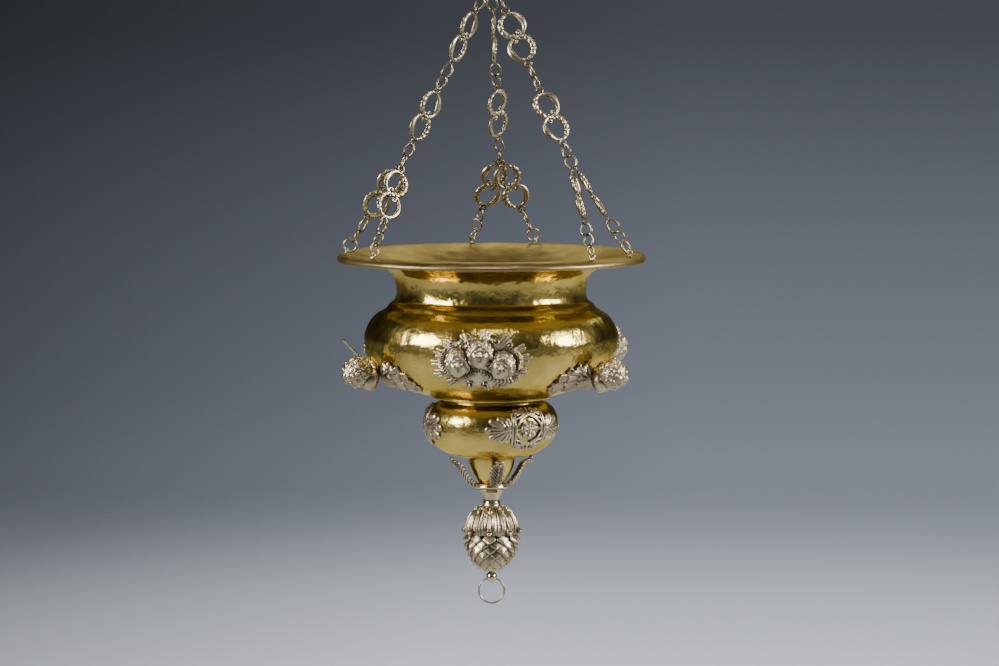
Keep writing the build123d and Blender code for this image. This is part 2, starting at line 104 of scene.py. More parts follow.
def tube(path, radius, sides=12, closed=False, relief=None, normal=None):
    # a tube along points; radius is a list, relief(share, angle) adds to it
    path = np.array(path, float)
    count = len(path)
    if closed:
        tangent = np.roll(path, -1, 0) - np.roll(path, 1, 0)
    else:
        tangent = np.gradient(path, axis=0)
    tangent /= np.linalg.norm(tangent, axis=1)[:, None]
    radius = np.broadcast_to(np.array(radius, float), (count,))
    frameNormal = np.zeros((count, 3))
    start = np.array(normal if normal is not None else (0, 0, 1), float)
    for i in range(count):
        start = start - tangent[i] * start.dot(tangent[i])
        start = unitVector(start)
        frameNormal[i] = start
    binormal = np.cross(tangent, frameNormal)
    angles = np.linspace(0, 2 * pi, sides, endpoint=False)
    verts = []
    for i in range(count):
        r = np.full(sides, radius[i])
        if relief is not None:
            r = r + relief(i / max(count - 1, 1), angles)
        ring = path[i] + np.outer(r * np.cos(angles), frameNormal[i])
        verts.append(ring + np.outer(r * np.sin(angles), binormal[i]))
    verts = np.vstack(verts)
    faces = [f[::-1] for f in gridFaces(count, sides, closed, True)]
    if not closed:
        faces.append(tuple(range(sides)))
        faces.append(tuple(range((count - 1) * sides, count * sides))[::-1])
    return verts, faces


def join(parts):
    verts, faces, base = [], [], 0
    for v, f in parts:
        verts.append(np.asarray(v))
        faces += [tuple(i + base for i in face) for face in f]
        base += len(v)
    return np.vstack(verts), faces


def outward(obj):
    bm = bmesh.new()
    bm.from_mesh(obj.data)
    bmesh.ops.recalc_face_normals(bm, faces=bm.faces)
    bm.to_mesh(obj.data)
    bm.free()
    return obj


def ball(centre, radius, segments=14):
    verts, faces = [], []
    rows = segments // 2 + 1
    for i in range(1, rows):
        lat = pi * i / rows
        for j in range(segments):
            lon = 2 * pi * j / segments
            verts.append((sin(lat) * cos(lon), sin(lat) * sin(lon), cos(lat)))
    faces = gridFaces(rows - 1, segments, False, True)
    faces = [f[::-1] for f in faces]
    verts += [(0, 0, 1), (0, 0, -1)]
    top, foot = len(verts) - 2, len(verts) - 1
    last = (rows - 2) * segments
    for j in range(segments):
        k = (j + 1) % segments
        faces.append((top, j, k))
        faces.append((foot, last + k, last + j))
    return np.array(verts) * radius + np.array(centre, float), faces


# materials
def metalMaterial(name, look):
    # polished, hammered or cast metal: base tone, dirt and painted shade in hollows and grooves, scratches
    # and dents
    material = bpy.data.materials.new(name)
    material.use_nodes = True
    tree = material.node_tree
    nodes, links = tree.nodes, tree.links
    nodes.clear()
    colourFrame = nodes.new("NodeFrame")
    colourFrame.label = "tone and tarnish"
    glossFrame = nodes.new("NodeFrame")
    glossFrame.label = "polish"
    dentFrame = nodes.new("NodeFrame")
    dentFrame.label = "dents and scratches"

    output = nodes.new("ShaderNodeOutputMaterial")
    output.label = "surface"
    output.location = (1100, 0)
    shader = nodes.new("ShaderNodeBsdfPrincipled")
    shader.label = "metal"
    shader.location = (820, 0)
    shader.inputs["Metallic"].default_value = 1.0
    shader.inputs["Specular Tint"].default_value = (*look["edge"], 1)
    links.new(shader.outputs["BSDF"], output.inputs["Surface"])

    place = nodes.new("ShaderNodeTexCoord")
    place.label = "place on the piece"
    place.location = (-1300, 0)

    patches = nodes.new("ShaderNodeTexNoise")
    patches.label = "tarnish patches"
    patches.location = (-1000, 300)
    patches.parent = colourFrame
    patches.inputs["Scale"].default_value = look["patchScale"]
    patches.inputs["Detail"].default_value = 6.0
    patches.inputs["Roughness"].default_value = 0.62
    links.new(place.outputs["Object"], patches.inputs["Vector"])
    tone = nodes.new("ShaderNodeValToRGB")
    tone.label = "tarnish to clean"
    tone.location = (-780, 300)
    tone.parent = colourFrame
    tone.color_ramp.elements[0].position = 0.32
    tone.color_ramp.elements[0].color = (*look["tarnish"], 1)
    tone.color_ramp.elements[1].position = 0.62
    tone.color_ramp.elements[1].color = (*look["clean"], 1)
    links.new(patches.outputs["Fac"], tone.inputs["Fac"])

    # dirt and painted shade: the colour darkens where ambient occlusion finds a hollow and where pointiness
    # finds a groove
    hollows = nodes.new("ShaderNodeAmbientOcclusion")
    hollows.label = "how deep in a hollow"
    hollows.location = (-780, 620)
    hollows.parent = colourFrame
    hollows.samples = 6
    hollows.only_local = True
    hollows.inputs["Distance"].default_value = look["hollowReach"]
    ridges = nodes.new("ShaderNodeNewGeometry")
    ridges.label = "ridge or groove"
    ridges.location = (-780, 480)
    ridges.parent = colourFrame
    grooveRange = nodes.new("ShaderNodeMapRange")
    grooveRange.label = "grooves only"
    grooveRange.location = (-560, 480)
    grooveRange.parent = colourFrame
    grooveRange.inputs["From Min"].default_value = 0.40
    grooveRange.inputs["From Max"].default_value = 0.50
    links.new(ridges.outputs["Pointiness"], grooveRange.inputs["Value"])
    openness = nodes.new("ShaderNodeMapRange")
    openness.label = "open surface"
    openness.location = (-560, 640)
    openness.parent = colourFrame
    openness.inputs["From Min"].default_value = look["hollowFrom"]
    openness.inputs["From Max"].default_value = 0.95
    links.new(hollows.outputs["AO"], openness.inputs["Value"])
    # 1 on open, ungrooved surface, which keeps the metal's tone; the lower it is, the more of the dark
    # colour for dirt and painted shade is mixed in
    clean = nodes.new("ShaderNodeMath")
    clean.label = "unshadedAndRubbed clean"
    clean.location = (-340, 560)
    clean.parent = colourFrame
    clean.operation = "MULTIPLY"
    links.new(openness.outputs["Result"], clean.inputs[0])
    links.new(grooveRange.outputs["Result"], clean.inputs[1])
    # painted shade and dirt: the dark colour is mixed in where the surface is hollow or grooved
    dirt = nodes.new("ShaderNodeMix")
    dirt.label = "dirt in hollows"
    dirt.location = (-120, 380)
    dirt.parent = colourFrame
    dirt.data_type = "RGBA"
    dirt.inputs[6].default_value = (*look["dirt"], 1)
    links.new(clean.outputs["Value"], dirt.inputs[0])
    links.new(tone.outputs["Color"], dirt.inputs[7])
    links.new(dirt.outputs[2], shader.inputs["Base Color"])

    wear = nodes.new("ShaderNodeTexNoise")
    wear.label = "handled and dull places"
    wear.location = (-560, 60)
    wear.parent = glossFrame
    wear.inputs["Scale"].default_value = look["glossScale"]
    wear.inputs["Detail"].default_value = 8.0
    wear.inputs["Roughness"].default_value = 0.65
    links.new(place.outputs["Object"], wear.inputs["Vector"])
    gloss = nodes.new("ShaderNodeMapRange")
    gloss.label = "roughness"
    gloss.location = (-340, 60)
    gloss.parent = glossFrame
    gloss.inputs["From Min"].default_value = 0.3
    gloss.inputs["From Max"].default_value = 0.7
    gloss.inputs["To Min"].default_value = look["roughness"][0]
    gloss.inputs["To Max"].default_value = look["roughness"][1]
    links.new(wear.outputs["Fac"], gloss.inputs["Value"])
    links.new(gloss.outputs["Result"], shader.inputs["Roughness"])

    dents = nodes.new("ShaderNodeTexNoise")
    dents.label = "hammer marks"
    dents.location = (-560, -260)
    dents.parent = dentFrame
    dents.inputs["Scale"].default_value = look["dentScale"]
    dents.inputs["Detail"].default_value = 2.0
    links.new(place.outputs["Object"], dents.inputs["Vector"])
    dentBump = nodes.new("ShaderNodeBump")
    dentBump.label = "dented sheet"
    dentBump.location = (-120, -260)
    dentBump.parent = dentFrame
    dentBump.inputs["Strength"].default_value = 1.0
    dentBump.inputs["Distance"].default_value = look["dentDepth"]
    links.new(dents.outputs["Fac"], dentBump.inputs["Height"])
    scratch = nodes.new("ShaderNodeTexNoise")
    scratch.label = "fine scratches and pits"
    scratch.location = (-560, -520)
    scratch.parent = dentFrame
    scratch.inputs["Scale"].default_value = look["scratchScale"]
    scratch.inputs["Detail"].default_value = 5.0
    scratch.inputs["Roughness"].default_value = 0.7
    stretch = nodes.new("ShaderNodeMapping")
    stretch.label = "stretched round the piece"
    stretch.location = (-800, -520)
    stretch.parent = dentFrame
    stretch.inputs["Scale"].default_value = (1, 1, look["scratchStretch"])
    links.new(place.outputs["Object"], stretch.inputs["Vector"])
    links.new(stretch.outputs["Vector"], scratch.inputs["Vector"])
    scratchBump = nodes.new("ShaderNodeBump")
    scratchBump.label = "scratched skin"
    scratchBump.location = (160, -400)
    scratchBump.parent = dentFrame
    scratchBump.inputs["Strength"].default_value = 1.0
    scratchBump.inputs["Distance"].default_value = look["scratchDepth"]
    links.new(scratch.outputs["Fac"], scratchBump.inputs["Height"])
    links.new(dentBump.outputs["Normal"], scratchBump.inputs["Normal"])
    links.new(scratchBump.outputs["Normal"], shader.inputs["Normal"])
    return material


# in each look the colour for hollows and grooves stands for dirt and painted shade together
brassLook = {
    "clean": (0.70, 0.53, 0.15), "tarnish": (0.36, 0.275, 0.062), "dirt": (0.08, 0.05, 0.015),
    "edge": (0.84, 0.72, 0.40),
    "patchScale": 18.0, "hollowReach": 0.004, "hollowFrom": 0.15, "glossScale": 40.0,
    "roughness": (0.12, 0.30), "dentScale": 150.0, "dentDepth": 0.0007,
    "scratchScale": 700.0, "scratchDepth": 0.00003, "scratchStretch": 5.0,
}
insideLook = dict(brassLook, clean=(0.33, 0.25, 0.11), tarnish=(0.21, 0.155, 0.06), edge=(0.66, 0.56, 0.37),
                  roughness=(0.34, 0.48), dentDepth=0.0002)
panLook = dict(brassLook, clean=(0.55, 0.38, 0.18), tarnish=(0.22, 0.14, 0.07), roughness=(0.3, 0.5))
castLook = {
    "clean": (0.62, 0.53, 0.365), "tarnish": (0.38, 0.305, 0.18), "dirt": (0.030, 0.022, 0.013),
    "edge": (0.84, 0.76, 0.58),
    "patchScale": 60.0, "hollowReach": 0.0032, "hollowFrom": 0.46, "glossScale": 160.0,
    "roughness": (0.24, 0.42), "dentScale": 420.0, "dentDepth": 0.0003,
    "scratchScale": 1600.0, "scratchDepth": 0.00004, "scratchStretch": 1.0,
}
chainLook = dict(castLook, clean=(0.66, 0.57, 0.38), tarnish=(0.44, 0.36, 0.21), roughness=(0.26, 0.4),
                 hollowReach=0.0012, dentDepth=0.00006, scratchDepth=0.00001)
stripLook = dict(castLook, clean=(0.80, 0.72, 0.55), dentDepth=0.0001, roughness=(0.18, 0.3))
turnedLook = dict(castLook, clean=(0.68, 0.57, 0.37), tarnish=(0.46, 0.365, 0.20),
                  dentDepth=0.00006, roughness=(0.14, 0.26))
spunBrass = metalMaterial("spunBrass", brassLook)
insideBrass = metalMaterial("insideBrass", insideLook)
panBrass = metalMaterial("panBrass", panLook)
castSilver = metalMaterial("castSilver", castLook)
chainSilver = metalMaterial("chainSilver", chainLook)
stripSilver = metalMaterial("stripSilver", stripLook)
turnedSilver = metalMaterial("turnedSilver", turnedLook)
print("materials done")


# spun brass: outlines as radius and height in mm, heights from the crest of the rim
bowlShape = {
    "wall": 1.2, "segments": 360, "dent": 0.16, "dentSize": 16.0,
    "neck": [(133.5, -7.0), (133.7, -5.0), (131.0, -2.6), (126.0, -1.2), (118.0, -2.6),
             (108.0, -6.2), (99.5, -10.4), (92.5, -14.4), (87.6, -18.0), (84.6, -23.0),
             (83.2, -29.0), (83.0, -36.0), (84.6, -41.4), (88.8, -44.6), (91.9, -48.8)],
    "belly": [(91.9, -48.8), (95.4, -51.0), (101.5, -54.6), (107.0, -61.5), (110.4, -69.5),
              (111.2, -77.0), (109.0, -90.0), (101.0, -103.5), (88.0, -113.0), (72.0, -119.5),
              (57.0, -124.5)],
}
bulbShape = {
    "wall": 1.0, "segments": 240, "dent": 0.07, "dentSize": 14.0, "neckRadius": 44.4, "neckFoot": -129.2,
    "bulb": [(44.4, -131.2), (49.0, -132.4), (54.0, -136.4), (57.4, -142.5), (58.3, -149.5),
             (56.6, -159.5), (49.5, -169.0), (40.0, -175.2), (30.0, -178.4), (21.0, -180.0)],
    "drop": [(21.0, -180.0), (18.8, -189.0), (14.6, -197.5), (10.0, -203.0)],
}
rodHole = 3.3
underside, mouldingFoot, dropFoot = -124.5, -127.3, -203.0
hammerWaves = 14


def beside(line, distance):
    # the same outline moved square to itself, positive towards the axis
    tangent = np.gradient(line, axis=0)
    tangent /= np.linalg.norm(tangent, axis=1)[:, None]
    return line + np.stack([tangent[:, 1], -tangent[:, 0]], 1) * distance


def hammered(points, azimuth, depth, size):
    # shallow dents left by the planishing hammer, as an outward shift in mm
    a = np.radians(azimuth)[None, :]
    r, z = points[:, 0][:, None], points[:, 1][:, None]
    x, y = r * np.sin(a), -r * np.cos(a)
    total = np.zeros(np.broadcast(x, y).shape)
    for _ in range(hammerWaves):
        k = rng.normal(size=3)
        k *= 2 * pi / (size * rng.uniform(0.6, 1.7)) / np.linalg.norm(k)
        total += np.sin(k[0] * x + k[1] * y + k[2] * z + rng.uniform(0, 6.28))
    return depth * total / sqrt(hammerWaves)


def lathe(name, outline, material, segments, dent=0.0, dentSize=10.0):
    # a closed outline turned round the axis; the outline runs down the outside
    outline = np.array(outline)
    angles = np.linspace(0, 360, segments, endpoint=False)
    r = np.broadcast_to(outline[:, 0][:, None], (len(outline), segments)).copy()
    z = np.broadcast_to(outline[:, 1][:, None], (len(outline), segments)).copy()
    if dent:
        shift = hammered(outline, angles, dent, dentSize)
        tangent = np.roll(outline, -1, 0) - np.roll(outline, 1, 0)
        tangent /= np.maximum(np.linalg.norm(tangent, axis=1), 1e-9)[:, None]
        r += shift * tangent[:, 1][:, None] * -1
        z += shift * tangent[:, 0][:, None]
    a = np.radians(angles)[None, :]
    verts = np.stack([r * np.sin(a), -r * np.cos(a), z + rimCrestMm], -1).reshape(-1, 3) * mm
    faces = gridFaces(len(outline), segments, True, True)
    return outward(meshObject(name, verts, faces, material))


def ease(points):
    # short straight runs get points of their own, so that shading stays crisp at corners
    out = []
    for a, b in zip(points, points[1:] + points[:1]):
        a, b = np.array(a, float), np.array(b, float)
        gap = np.linalg.norm(b - a)
        inset = min(0.15, gap / 4)
        out += [a, a + (b - a) * inset / max(gap, 1e-6), b - (b - a) * inset / max(gap, 1e-6)]
    return out


neckCurve = smoothLine(bowlShape["neck"], 10)
bellyCurve = smoothLine(bowlShape["belly"], 12)
bowlOutside = np.vstack([neckCurve, bellyCurve[1:]])
bowlInside = np.vstack([beside(neckCurve, bowlShape["wall"]), beside(bellyCurve, bowlShape["wall"])])
floorInside = bowlInside[-1][1]
lipTurn = [bowlInside[0] + (bowlOutside[0] - bowlInside[0]) * (0.5 - 0.5 * cos(t))
           + np.array([0, -0.5]) * sin(t) for t in np.linspace(0, pi, 7)[1:-1]]
floorRings = np.linspace(50, rodHole + 4, 8)
bowlLine = list(bowlOutside) + [(r, underside) for r in floorRings] + [(rodHole, underside)]
bowlLine += [(rodHole, floorInside)] + [(r, floorInside) for r in floorRings[::-1]]
bowlLine += list(bowlInside[::-1]) + lipTurn
bowl = lathe("bowlBody", bowlLine, spunBrass, bowlShape["segments"],
             bowlShape["dent"], bowlShape["dentSize"])
# the inside and the upper face of the rim are duller than the polished outside
bowl.data.materials.append(insideBrass)
firstInside = (len(bowlOutside) + len(floorRings) + 1) * bowlShape["segments"]
lastInside = (len(bowlLine) - len(lipTurn)) * bowlShape["segments"]
for face in bowl.data.polygons:
    face.material_index = 1 if firstInside <= face.index < lastInside else 0
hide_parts("rim_and_neck", "bowl")
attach(bowl, lampBody)

bulbCurve = smoothLine(bulbShape["bulb"], 12)
dropCurve = smoothLine(bulbShape["drop"], 8)
bulbInside = beside(bulbCurve, bulbShape["wall"])
dropInside = beside(dropCurve, bulbShape["wall"])
bulbNeck = bulbShape["neckRadius"]
neckFoot, neckInside = bulbShape["neckFoot"], bulbNeck - bulbShape["wall"]
bulbLine = [(bulbNeck, mouldingFoot), (bulbNeck, neckFoot)] + list(bulbCurve) + list(dropCurve[1:])
bulbLine += [(rodHole, dropFoot), (rodHole, dropFoot + bulbShape["wall"])] + list(dropInside[::-1])
bulbLine += list(bulbInside[::-1])
bulbLine += [(neckInside, neckFoot), (neckInside, mouldingFoot)]
bulb = lathe("bulbBody", bulbLine, spunBrass, bulbShape["segments"],
             bulbShape["dent"], bulbShape["dentSize"])
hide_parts("lower_bulb")
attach(bulb, lampBody)

# base moulding: a plate with a half-round edge and a small fillet over the bulb's neck
mouldingShape = {
    "edgeMiddle": 51.3, "edgeRadius": 1.4, "fillet": [(46.5, -127.3), (45.6, -126.9), (44.6, -127.3)],
}
edgeMiddle, edgeRadius = mouldingShape["edgeMiddle"], mouldingShape["edgeRadius"]
roundEdge = [(edgeMiddle + edgeRadius * sin(t), underside - edgeRadius + edgeRadius * cos(t))
             for t in np.linspace(0, pi, 10)]
mouldingLine = [(rodHole, underside), (30, underside)] + roundEdge + mouldingShape["fillet"]
mouldingLine += [(30, mouldingFoot), (rodHole, mouldingFoot)]
moulding = lathe("baseMoulding", mouldingLine, spunBrass, bulbShape["segments"])
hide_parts("base_moulding")
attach(moulding, lampBody)
print("spun brass done")


# chain: the turns are those of the CAD elements, in degrees about each chain line
chainShape = {
    "linkPitch": 55.4, "eyeRadius": 2.9, "eyeWire": 0.85, "ringRadius": 10.7,
    "sWire": 0.98, "sHalfWidth": 4.6, "gap": 0.2,
    "rimRingRadius": 5.6, "rimRingWire": 0.9, "rimEyeRadius": 2.3, "rimEyeWire": 0.75,
    "flat": 0.66, "steps": 110, "bandArc": (8, 196), "band": (1.0, 1.75),
    "fluteDepth": 0.34, "fluteTurns": 46, "volute": 3.1, "voluteTurn": 4.6,
    "leafArc": (188, 372), "leaf": (0.95, 1.85), "leafVein": 0.3, "lobes": 5,
}
chains = {
    "right": {"turns": (-80, 8, -80, -60, 30, -50, -5), "rings": (65, 60)},
    "back": {"turns": (-5, 85, -5, -30, 47, -40, -75), "rings": (0, 70)},
    "left": {"turns": (-30, 58, -30, -30, 47, -40, -70), "rings": (0, 52)},
}
jointOf = {}
for joint in frame["joints"]:
    jointOf[joint["name"]] = joint


def facing(direction, angle):
    # square to a chain line, turned by an angle from the side that faces the front of the lamp
    view = radial(5)
    front = unitVector(view - direction * view.dot(direction))
    right = np.cross(front, direction)
    return front * cos(radians(angle)) + right * sin(radians(angle))


def flatNormal(node):
    # the thin direction of a flat CAD piece
    points = np.array([v.co for v in frame["nodes"][node].data.vertices])
    points = points - points.mean(axis=0)
    return np.linalg.eigh(points.T @ points)[1][:, 0]


def ringArc(centre, side, radii, degreesFromTo):
    # a slightly flattened arc in the plane of the link, with a radius for each point
    angles = np.radians(np.linspace(*degreesFromTo, len(radii)))
    return [centre + side * np.array([r * cos(t), r * 0.98 * sin(t), 0]) for t, r in zip(angles, radii)]


def scrollLink(shape):
    # one cast link in its own plane: x along the chain, y across, z through, all in mm
    half = shape["linkPitch"] / 2 + shape["eyeWire"] + shape["gap"] / 2
    ring, steps = shape["ringRadius"], shape["steps"]
    share = np.linspace(0, 1, steps)
    parts = []
    for side in (-1, 1):
        centre = np.array([side * (ring + 0.1), 0, 0])
        eyeCentre = np.array([side * (half - shape["eyeRadius"]), 0, 0])
        angles = np.linspace(0, 2 * pi, 24, endpoint=False)
        eye = [eyeCentre + shape["eyeRadius"] * np.array([cos(t), sin(t), 0]) for t in angles]
        parts.append(tube(eye, shape["eyeWire"], 8, closed=True))

        # gadrooned arc with a volute at its end
        band = shape["band"][0] + shape["band"][1] * np.sin(pi * share) ** 1.1
        path = ringArc(centre, side, ring + 1.15 - band * 0.6, shape["bandArc"])
        parts.append(tube(path, band, 16,
                          relief=lambda s, a: shape["fluteDepth"] * np.cos(2 * a - s * shape["fluteTurns"])))
        start = radians(shape["bandArc"][1])
        hub = centre + side * np.array([(ring - 3.0) * cos(start), (ring - 3.0) * sin(start), 0])
        spiral = []
        for t in np.linspace(0, 1, 26):
            turn = start + t * shape["voluteTurn"]
            reach = shape["volute"] * (1 - t) ** 0.9 + 0.3
            spiral.append(hub + side * reach * np.array([cos(turn), sin(turn), 0]))
        parts.append(tube(spiral, np.linspace(1.05, 0.75, 26), 10))
        parts.append(ball(spiral[-1], 1.35, 12))

        # acanthus leaf along the other side, fluted and swelling towards the eye
        swell = shape["leaf"][0] + shape["leaf"][1] * np.exp(-((share - 0.55) / 0.24) ** 2)
        path = ringArc(centre, side, ring + 0.9 - swell * 0.5, shape["leafArc"])
        parts.append(tube(path, swell, 16,
                          relief=lambda s, a: shape["leafVein"] * np.abs(np.sin(2 * a + 4 * s))))
        for lobe in range(shape["lobes"]):
            k = int((0.36 + lobe * 0.1) * (steps - 1))
            out = unitVector(path[k] - centre)
            parts.append(ball(path[k] + out * 0.75 * swell[k], 0.85, 8))
        parts.append(ball([side * 2.2, side * 2.1, 0], 1.15, 10))

        # neck between the ring and its eye
        neck = [centre + [side * (ring - 0.6), 0, 0], eyeCentre - [side * (shape["eyeRadius"] - 0.4), 0, 0]]
        middle = (neck[0] + neck[1]) / 2
        parts.append(tube([neck[0], middle, neck[1]], [1.4, 1.25, 1.1], 10))
    parts.append(ball([0, 0, 0], 1.6, 12))
    parts.append(ball([0, 0, 0.9], 1.1, 10))
    verts, faces = join(parts)
    verts[:, 2] *= shape["flat"]
    return verts, faces


linkVerts, linkFaces = scrollLink(chainShape)


def placeLink(name, node, top, direction, normal):
    # the cast link laid along a chain line with its thin side along the normal
    centre = top + direction * chainShape["linkPitch"] / 2
    across = np.cross(normal, direction)
    verts = centre + linkVerts @ np.array([direction, across, normal])
    obj = meshObject(name, verts * mm, linkFaces, chainSilver)
    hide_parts(node)
    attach(obj, node + "_body")


def placeSLink(name, node, top, direction, pitch, upperNormal, lowerNormal):
    # one bent wire: round the upper loop, across the waist and round the lower loop
    wire = chainShape["sWire"]
    half = pitch / 2 + wire + chainShape["gap"] / 2
    centre = top + direction * pitch / 2
    width = chainShape["sHalfWidth"]
    path = []
    for side, normal in ((-1, upperNormal), (1, lowerNormal)):
        across = np.cross(normal, direction)
        loop = []
        for t in np.radians(np.linspace(24, 352, 34)):
            along = side * half / 2 * (1 - cos(t))
            pear = 1 - 0.32 * cos(t)
            drift = wire * 1.05 * (1 - t / pi)
            loop.append(centre + direction * along + across * side * width * sin(t) / 1.02 * pear ** -0.6
                        + normal * drift)
        path += loop
        if side == -1:
            path.append(centre)
    verts, faces = tube(path, wire, 10, normal=upperNormal)
    obj = meshObject(name, verts * mm, faces, chainSilver)
    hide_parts(node)
    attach(obj, node + "_body")


def placeRing(name, node, body, centre, normal, radius, wire):
    # a closed ring of round wire
    side = unitVector(np.cross(normal, (0.3, 0.2, 1)))
    other = np.cross(normal, side)
    angles = np.linspace(0, 2 * pi, 64, endpoint=False)
    path = [centre + radius * (cos(t) * side + sin(t) * other) for t in angles]
    verts, faces = tube(path, wire, 14, closed=True, normal=normal)
    obj = meshObject(name, verts * mm, faces, chainSilver)
    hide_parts(node)
    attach(obj, body)


def jointLine(node):
    joint = jointOf[node + "_twist"]
    point = np.array(joint["pos_m"]) / mm
    axis = np.array(joint["axis"])
    return point, axis if axis[2] < 0 else -axis


eyeParts = []
for side, chain in chains.items():
    turns = chain["turns"]
    names = ["top_s_link", "upper_openwork_link", "upper_s_link", "lower_openwork_link", "lower_s_link"]
    lines = [jointLine(f"{side}_{n}") for n in names]
    line = lines[0][1]
    across = unitVector(np.array([1.0, 0, 0]) - line * line[0])
    bridleStart = jointLine(f"{side}_bridle_link_a")[0] + jointLine(f"{side}_bridle_link_b")[0]
    ends = [p for p, _ in lines[1:]] + [bridleStart / 2]
    faceAngles = {"top_s_link": (across, facing(line, turns[0])),
                  "upper_openwork_link": (facing(line, turns[1]),),
                  "upper_s_link": (facing(line, turns[2]), facing(line, turns[3])),
                  "lower_openwork_link": (facing(line, turns[4]),),
                  "lower_s_link": (facing(line, turns[5]), facing(line, turns[6]))}
    for name, (point, direction), end in zip(names, lines, ends):
        node = f"{side}_{name}"
        title = "".join([side] + [w.capitalize() for w in name.split("_")])
        faces = faceAngles[name]
        pitch = (end - point).dot(direction)
        if len(faces) == 1:
            placeLink(title, node, point, direction, faces[0])
        else:
            placeSLink(title, node, point, direction, pitch, *faces)
    for leg, ringTurn in zip("ab", chain["rings"]):
        point, direction = jointLine(f"{side}_bridle_link_{leg}")
        normal = flatNormal(f"{side}_bridle_link_{leg}")
        placeLink(f"{side}BridleLink{leg.upper()}", f"{side}_bridle_link_{leg}", point, direction, normal)
        sPoint, _ = jointLine(f"{side}_bridle_s_link_{leg}")
        ringPoint, _ = jointLine(f"{side}_rim_ring_{leg}")
        ringFace = facing(direction, ringTurn)
        placeSLink(f"{side}BridleSLink{leg.upper()}", f"{side}_bridle_s_link_{leg}", sPoint, direction,
                   (ringPoint - sPoint).dot(direction), np.cross(direction, normal),
                   np.cross(direction, ringFace))
        ringRadius, ringWire = chainShape["rimRingRadius"], chainShape["rimRingWire"]
        placeRing(f"{side}RimRing{leg.upper()}", f"{side}_rim_ring_{leg}", f"{side}_rim_ring_{leg}_body",
                  ringPoint + direction * (ringRadius - ringWire), ringFace, ringRadius, ringWire)

        # eye bolt under the ring: an eye, its stem through the rim, a flange and a riveted end
        eyeRadius = chainShape["rimEyeRadius"]
        reach = 2 * ringRadius - 2 * ringWire
        eyeCentre = ringPoint + direction * (reach + eyeRadius - chainShape["rimEyeWire"])
        eyeNormal = np.cross(direction, ringFace)
        angles = np.linspace(0, 2 * pi, 32, endpoint=False)
        other = np.cross(eyeNormal, direction)
        path = [eyeCentre + eyeRadius * (cos(t) * direction + sin(t) * other) for t in angles]
        eyeParts.append(tube(path, chainShape["rimEyeWire"], 10, closed=True, normal=eyeNormal))
        foot = eyeCentre + [0, 0, -2.4]
        stem = [foot + [0, 0, 0.4], foot + [0, 0, -1.0], foot + [0, 0, -2.5]]
        eyeParts.append(tube(stem, [0.9, 0.9, 0.9], 12, normal=(1, 0, 0)))
        flange = [foot + [0, 0, h] for h in (0.25, 0.1, -0.1, -0.25)]
        eyeParts.append(tube(flange, [1.3, 1.9, 2.1, 1.9], 20, normal=(1, 0, 0)))
        head = [foot + [0, 0, h] for h in (-2.35, -2.6, -3.0, -3.25)]
        eyeParts.append(tube(head, [1.9, 2.0, 1.7, 0.8], 20, normal=(1, 0, 0)))
verts, faces = join(eyeParts)
rimEyes = outward(meshObject("rimEyes", verts * mm, faces, chainSilver))
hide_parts("rim_eyes")
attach(rimEyes, lampBody)

for title, node, body, wire in (("suspensionRing", "suspension_ring", "suspension", 1.5),
                                ("gatheringRing", "gathering_ring", "gathering", 1.2),
                                ("pullRing", "pull_ring", "pull_ring_body", 0.85)):
    low, high = np.array(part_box(node)[0]) / mm, np.array(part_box(node)[1]) / mm
    placeRing(title, node, body, (low + high) / 2, flatNormal(node), (high - low)[2] / 2 - wire, wire)
print("chains done")


# shared tools for the chased and cast ornaments
def alongCurve(curve, height):
    # distance along an outline for each of its points, and the distance at which it reaches a height
    steps = np.linalg.norm(np.diff(curve, axis=0), axis=1)
    distance = np.concatenate([[0], np.cumsum(steps)])
    start = np.interp(-height, -curve[:, 1], distance)
    return distance, start


def wrapOn(curve, azimuth, height, lift=0.15):
    # (u across, v up, h outwards) in mm laid on a spun surface round one azimuth
    distance, start = alongCurve(curve, height)
    middle = np.interp(start, distance, curve[:, 0])
    slope = np.gradient(curve, distance, axis=0)

    def place(u, v, h):
        s = start - v
        r, z = np.interp(s, distance, curve[:, 0]), np.interp(s, distance, curve[:, 1])
        tr, tz = np.interp(s, distance, slope[:, 0]), np.interp(s, distance, slope[:, 1])
        size = np.hypot(tr, tz)
        r = r - tz / size * (h + lift)
        z = z + tr / size * (h + lift)
        a = radians(azimuth) + u / middle
        return np.stack([r * np.sin(a), -r * np.cos(a), z + rimCrestMm], -1)

    return place


def frameAt(place, u, v, h):
    # a local frame on the wrapped surface: origin, right, up and outwards
    e = 0.05
    origin = place(np.array(u), np.array(v), np.array(h))
    right = unitVector(place(np.array(u + e), np.array(v), np.array(h)) - origin)
    up = unitVector(place(np.array(u), np.array(v + e), np.array(h)) - origin)
    out = unitVector(np.cross(right, up))
    up = np.cross(out, right)
    return origin, right, up, out


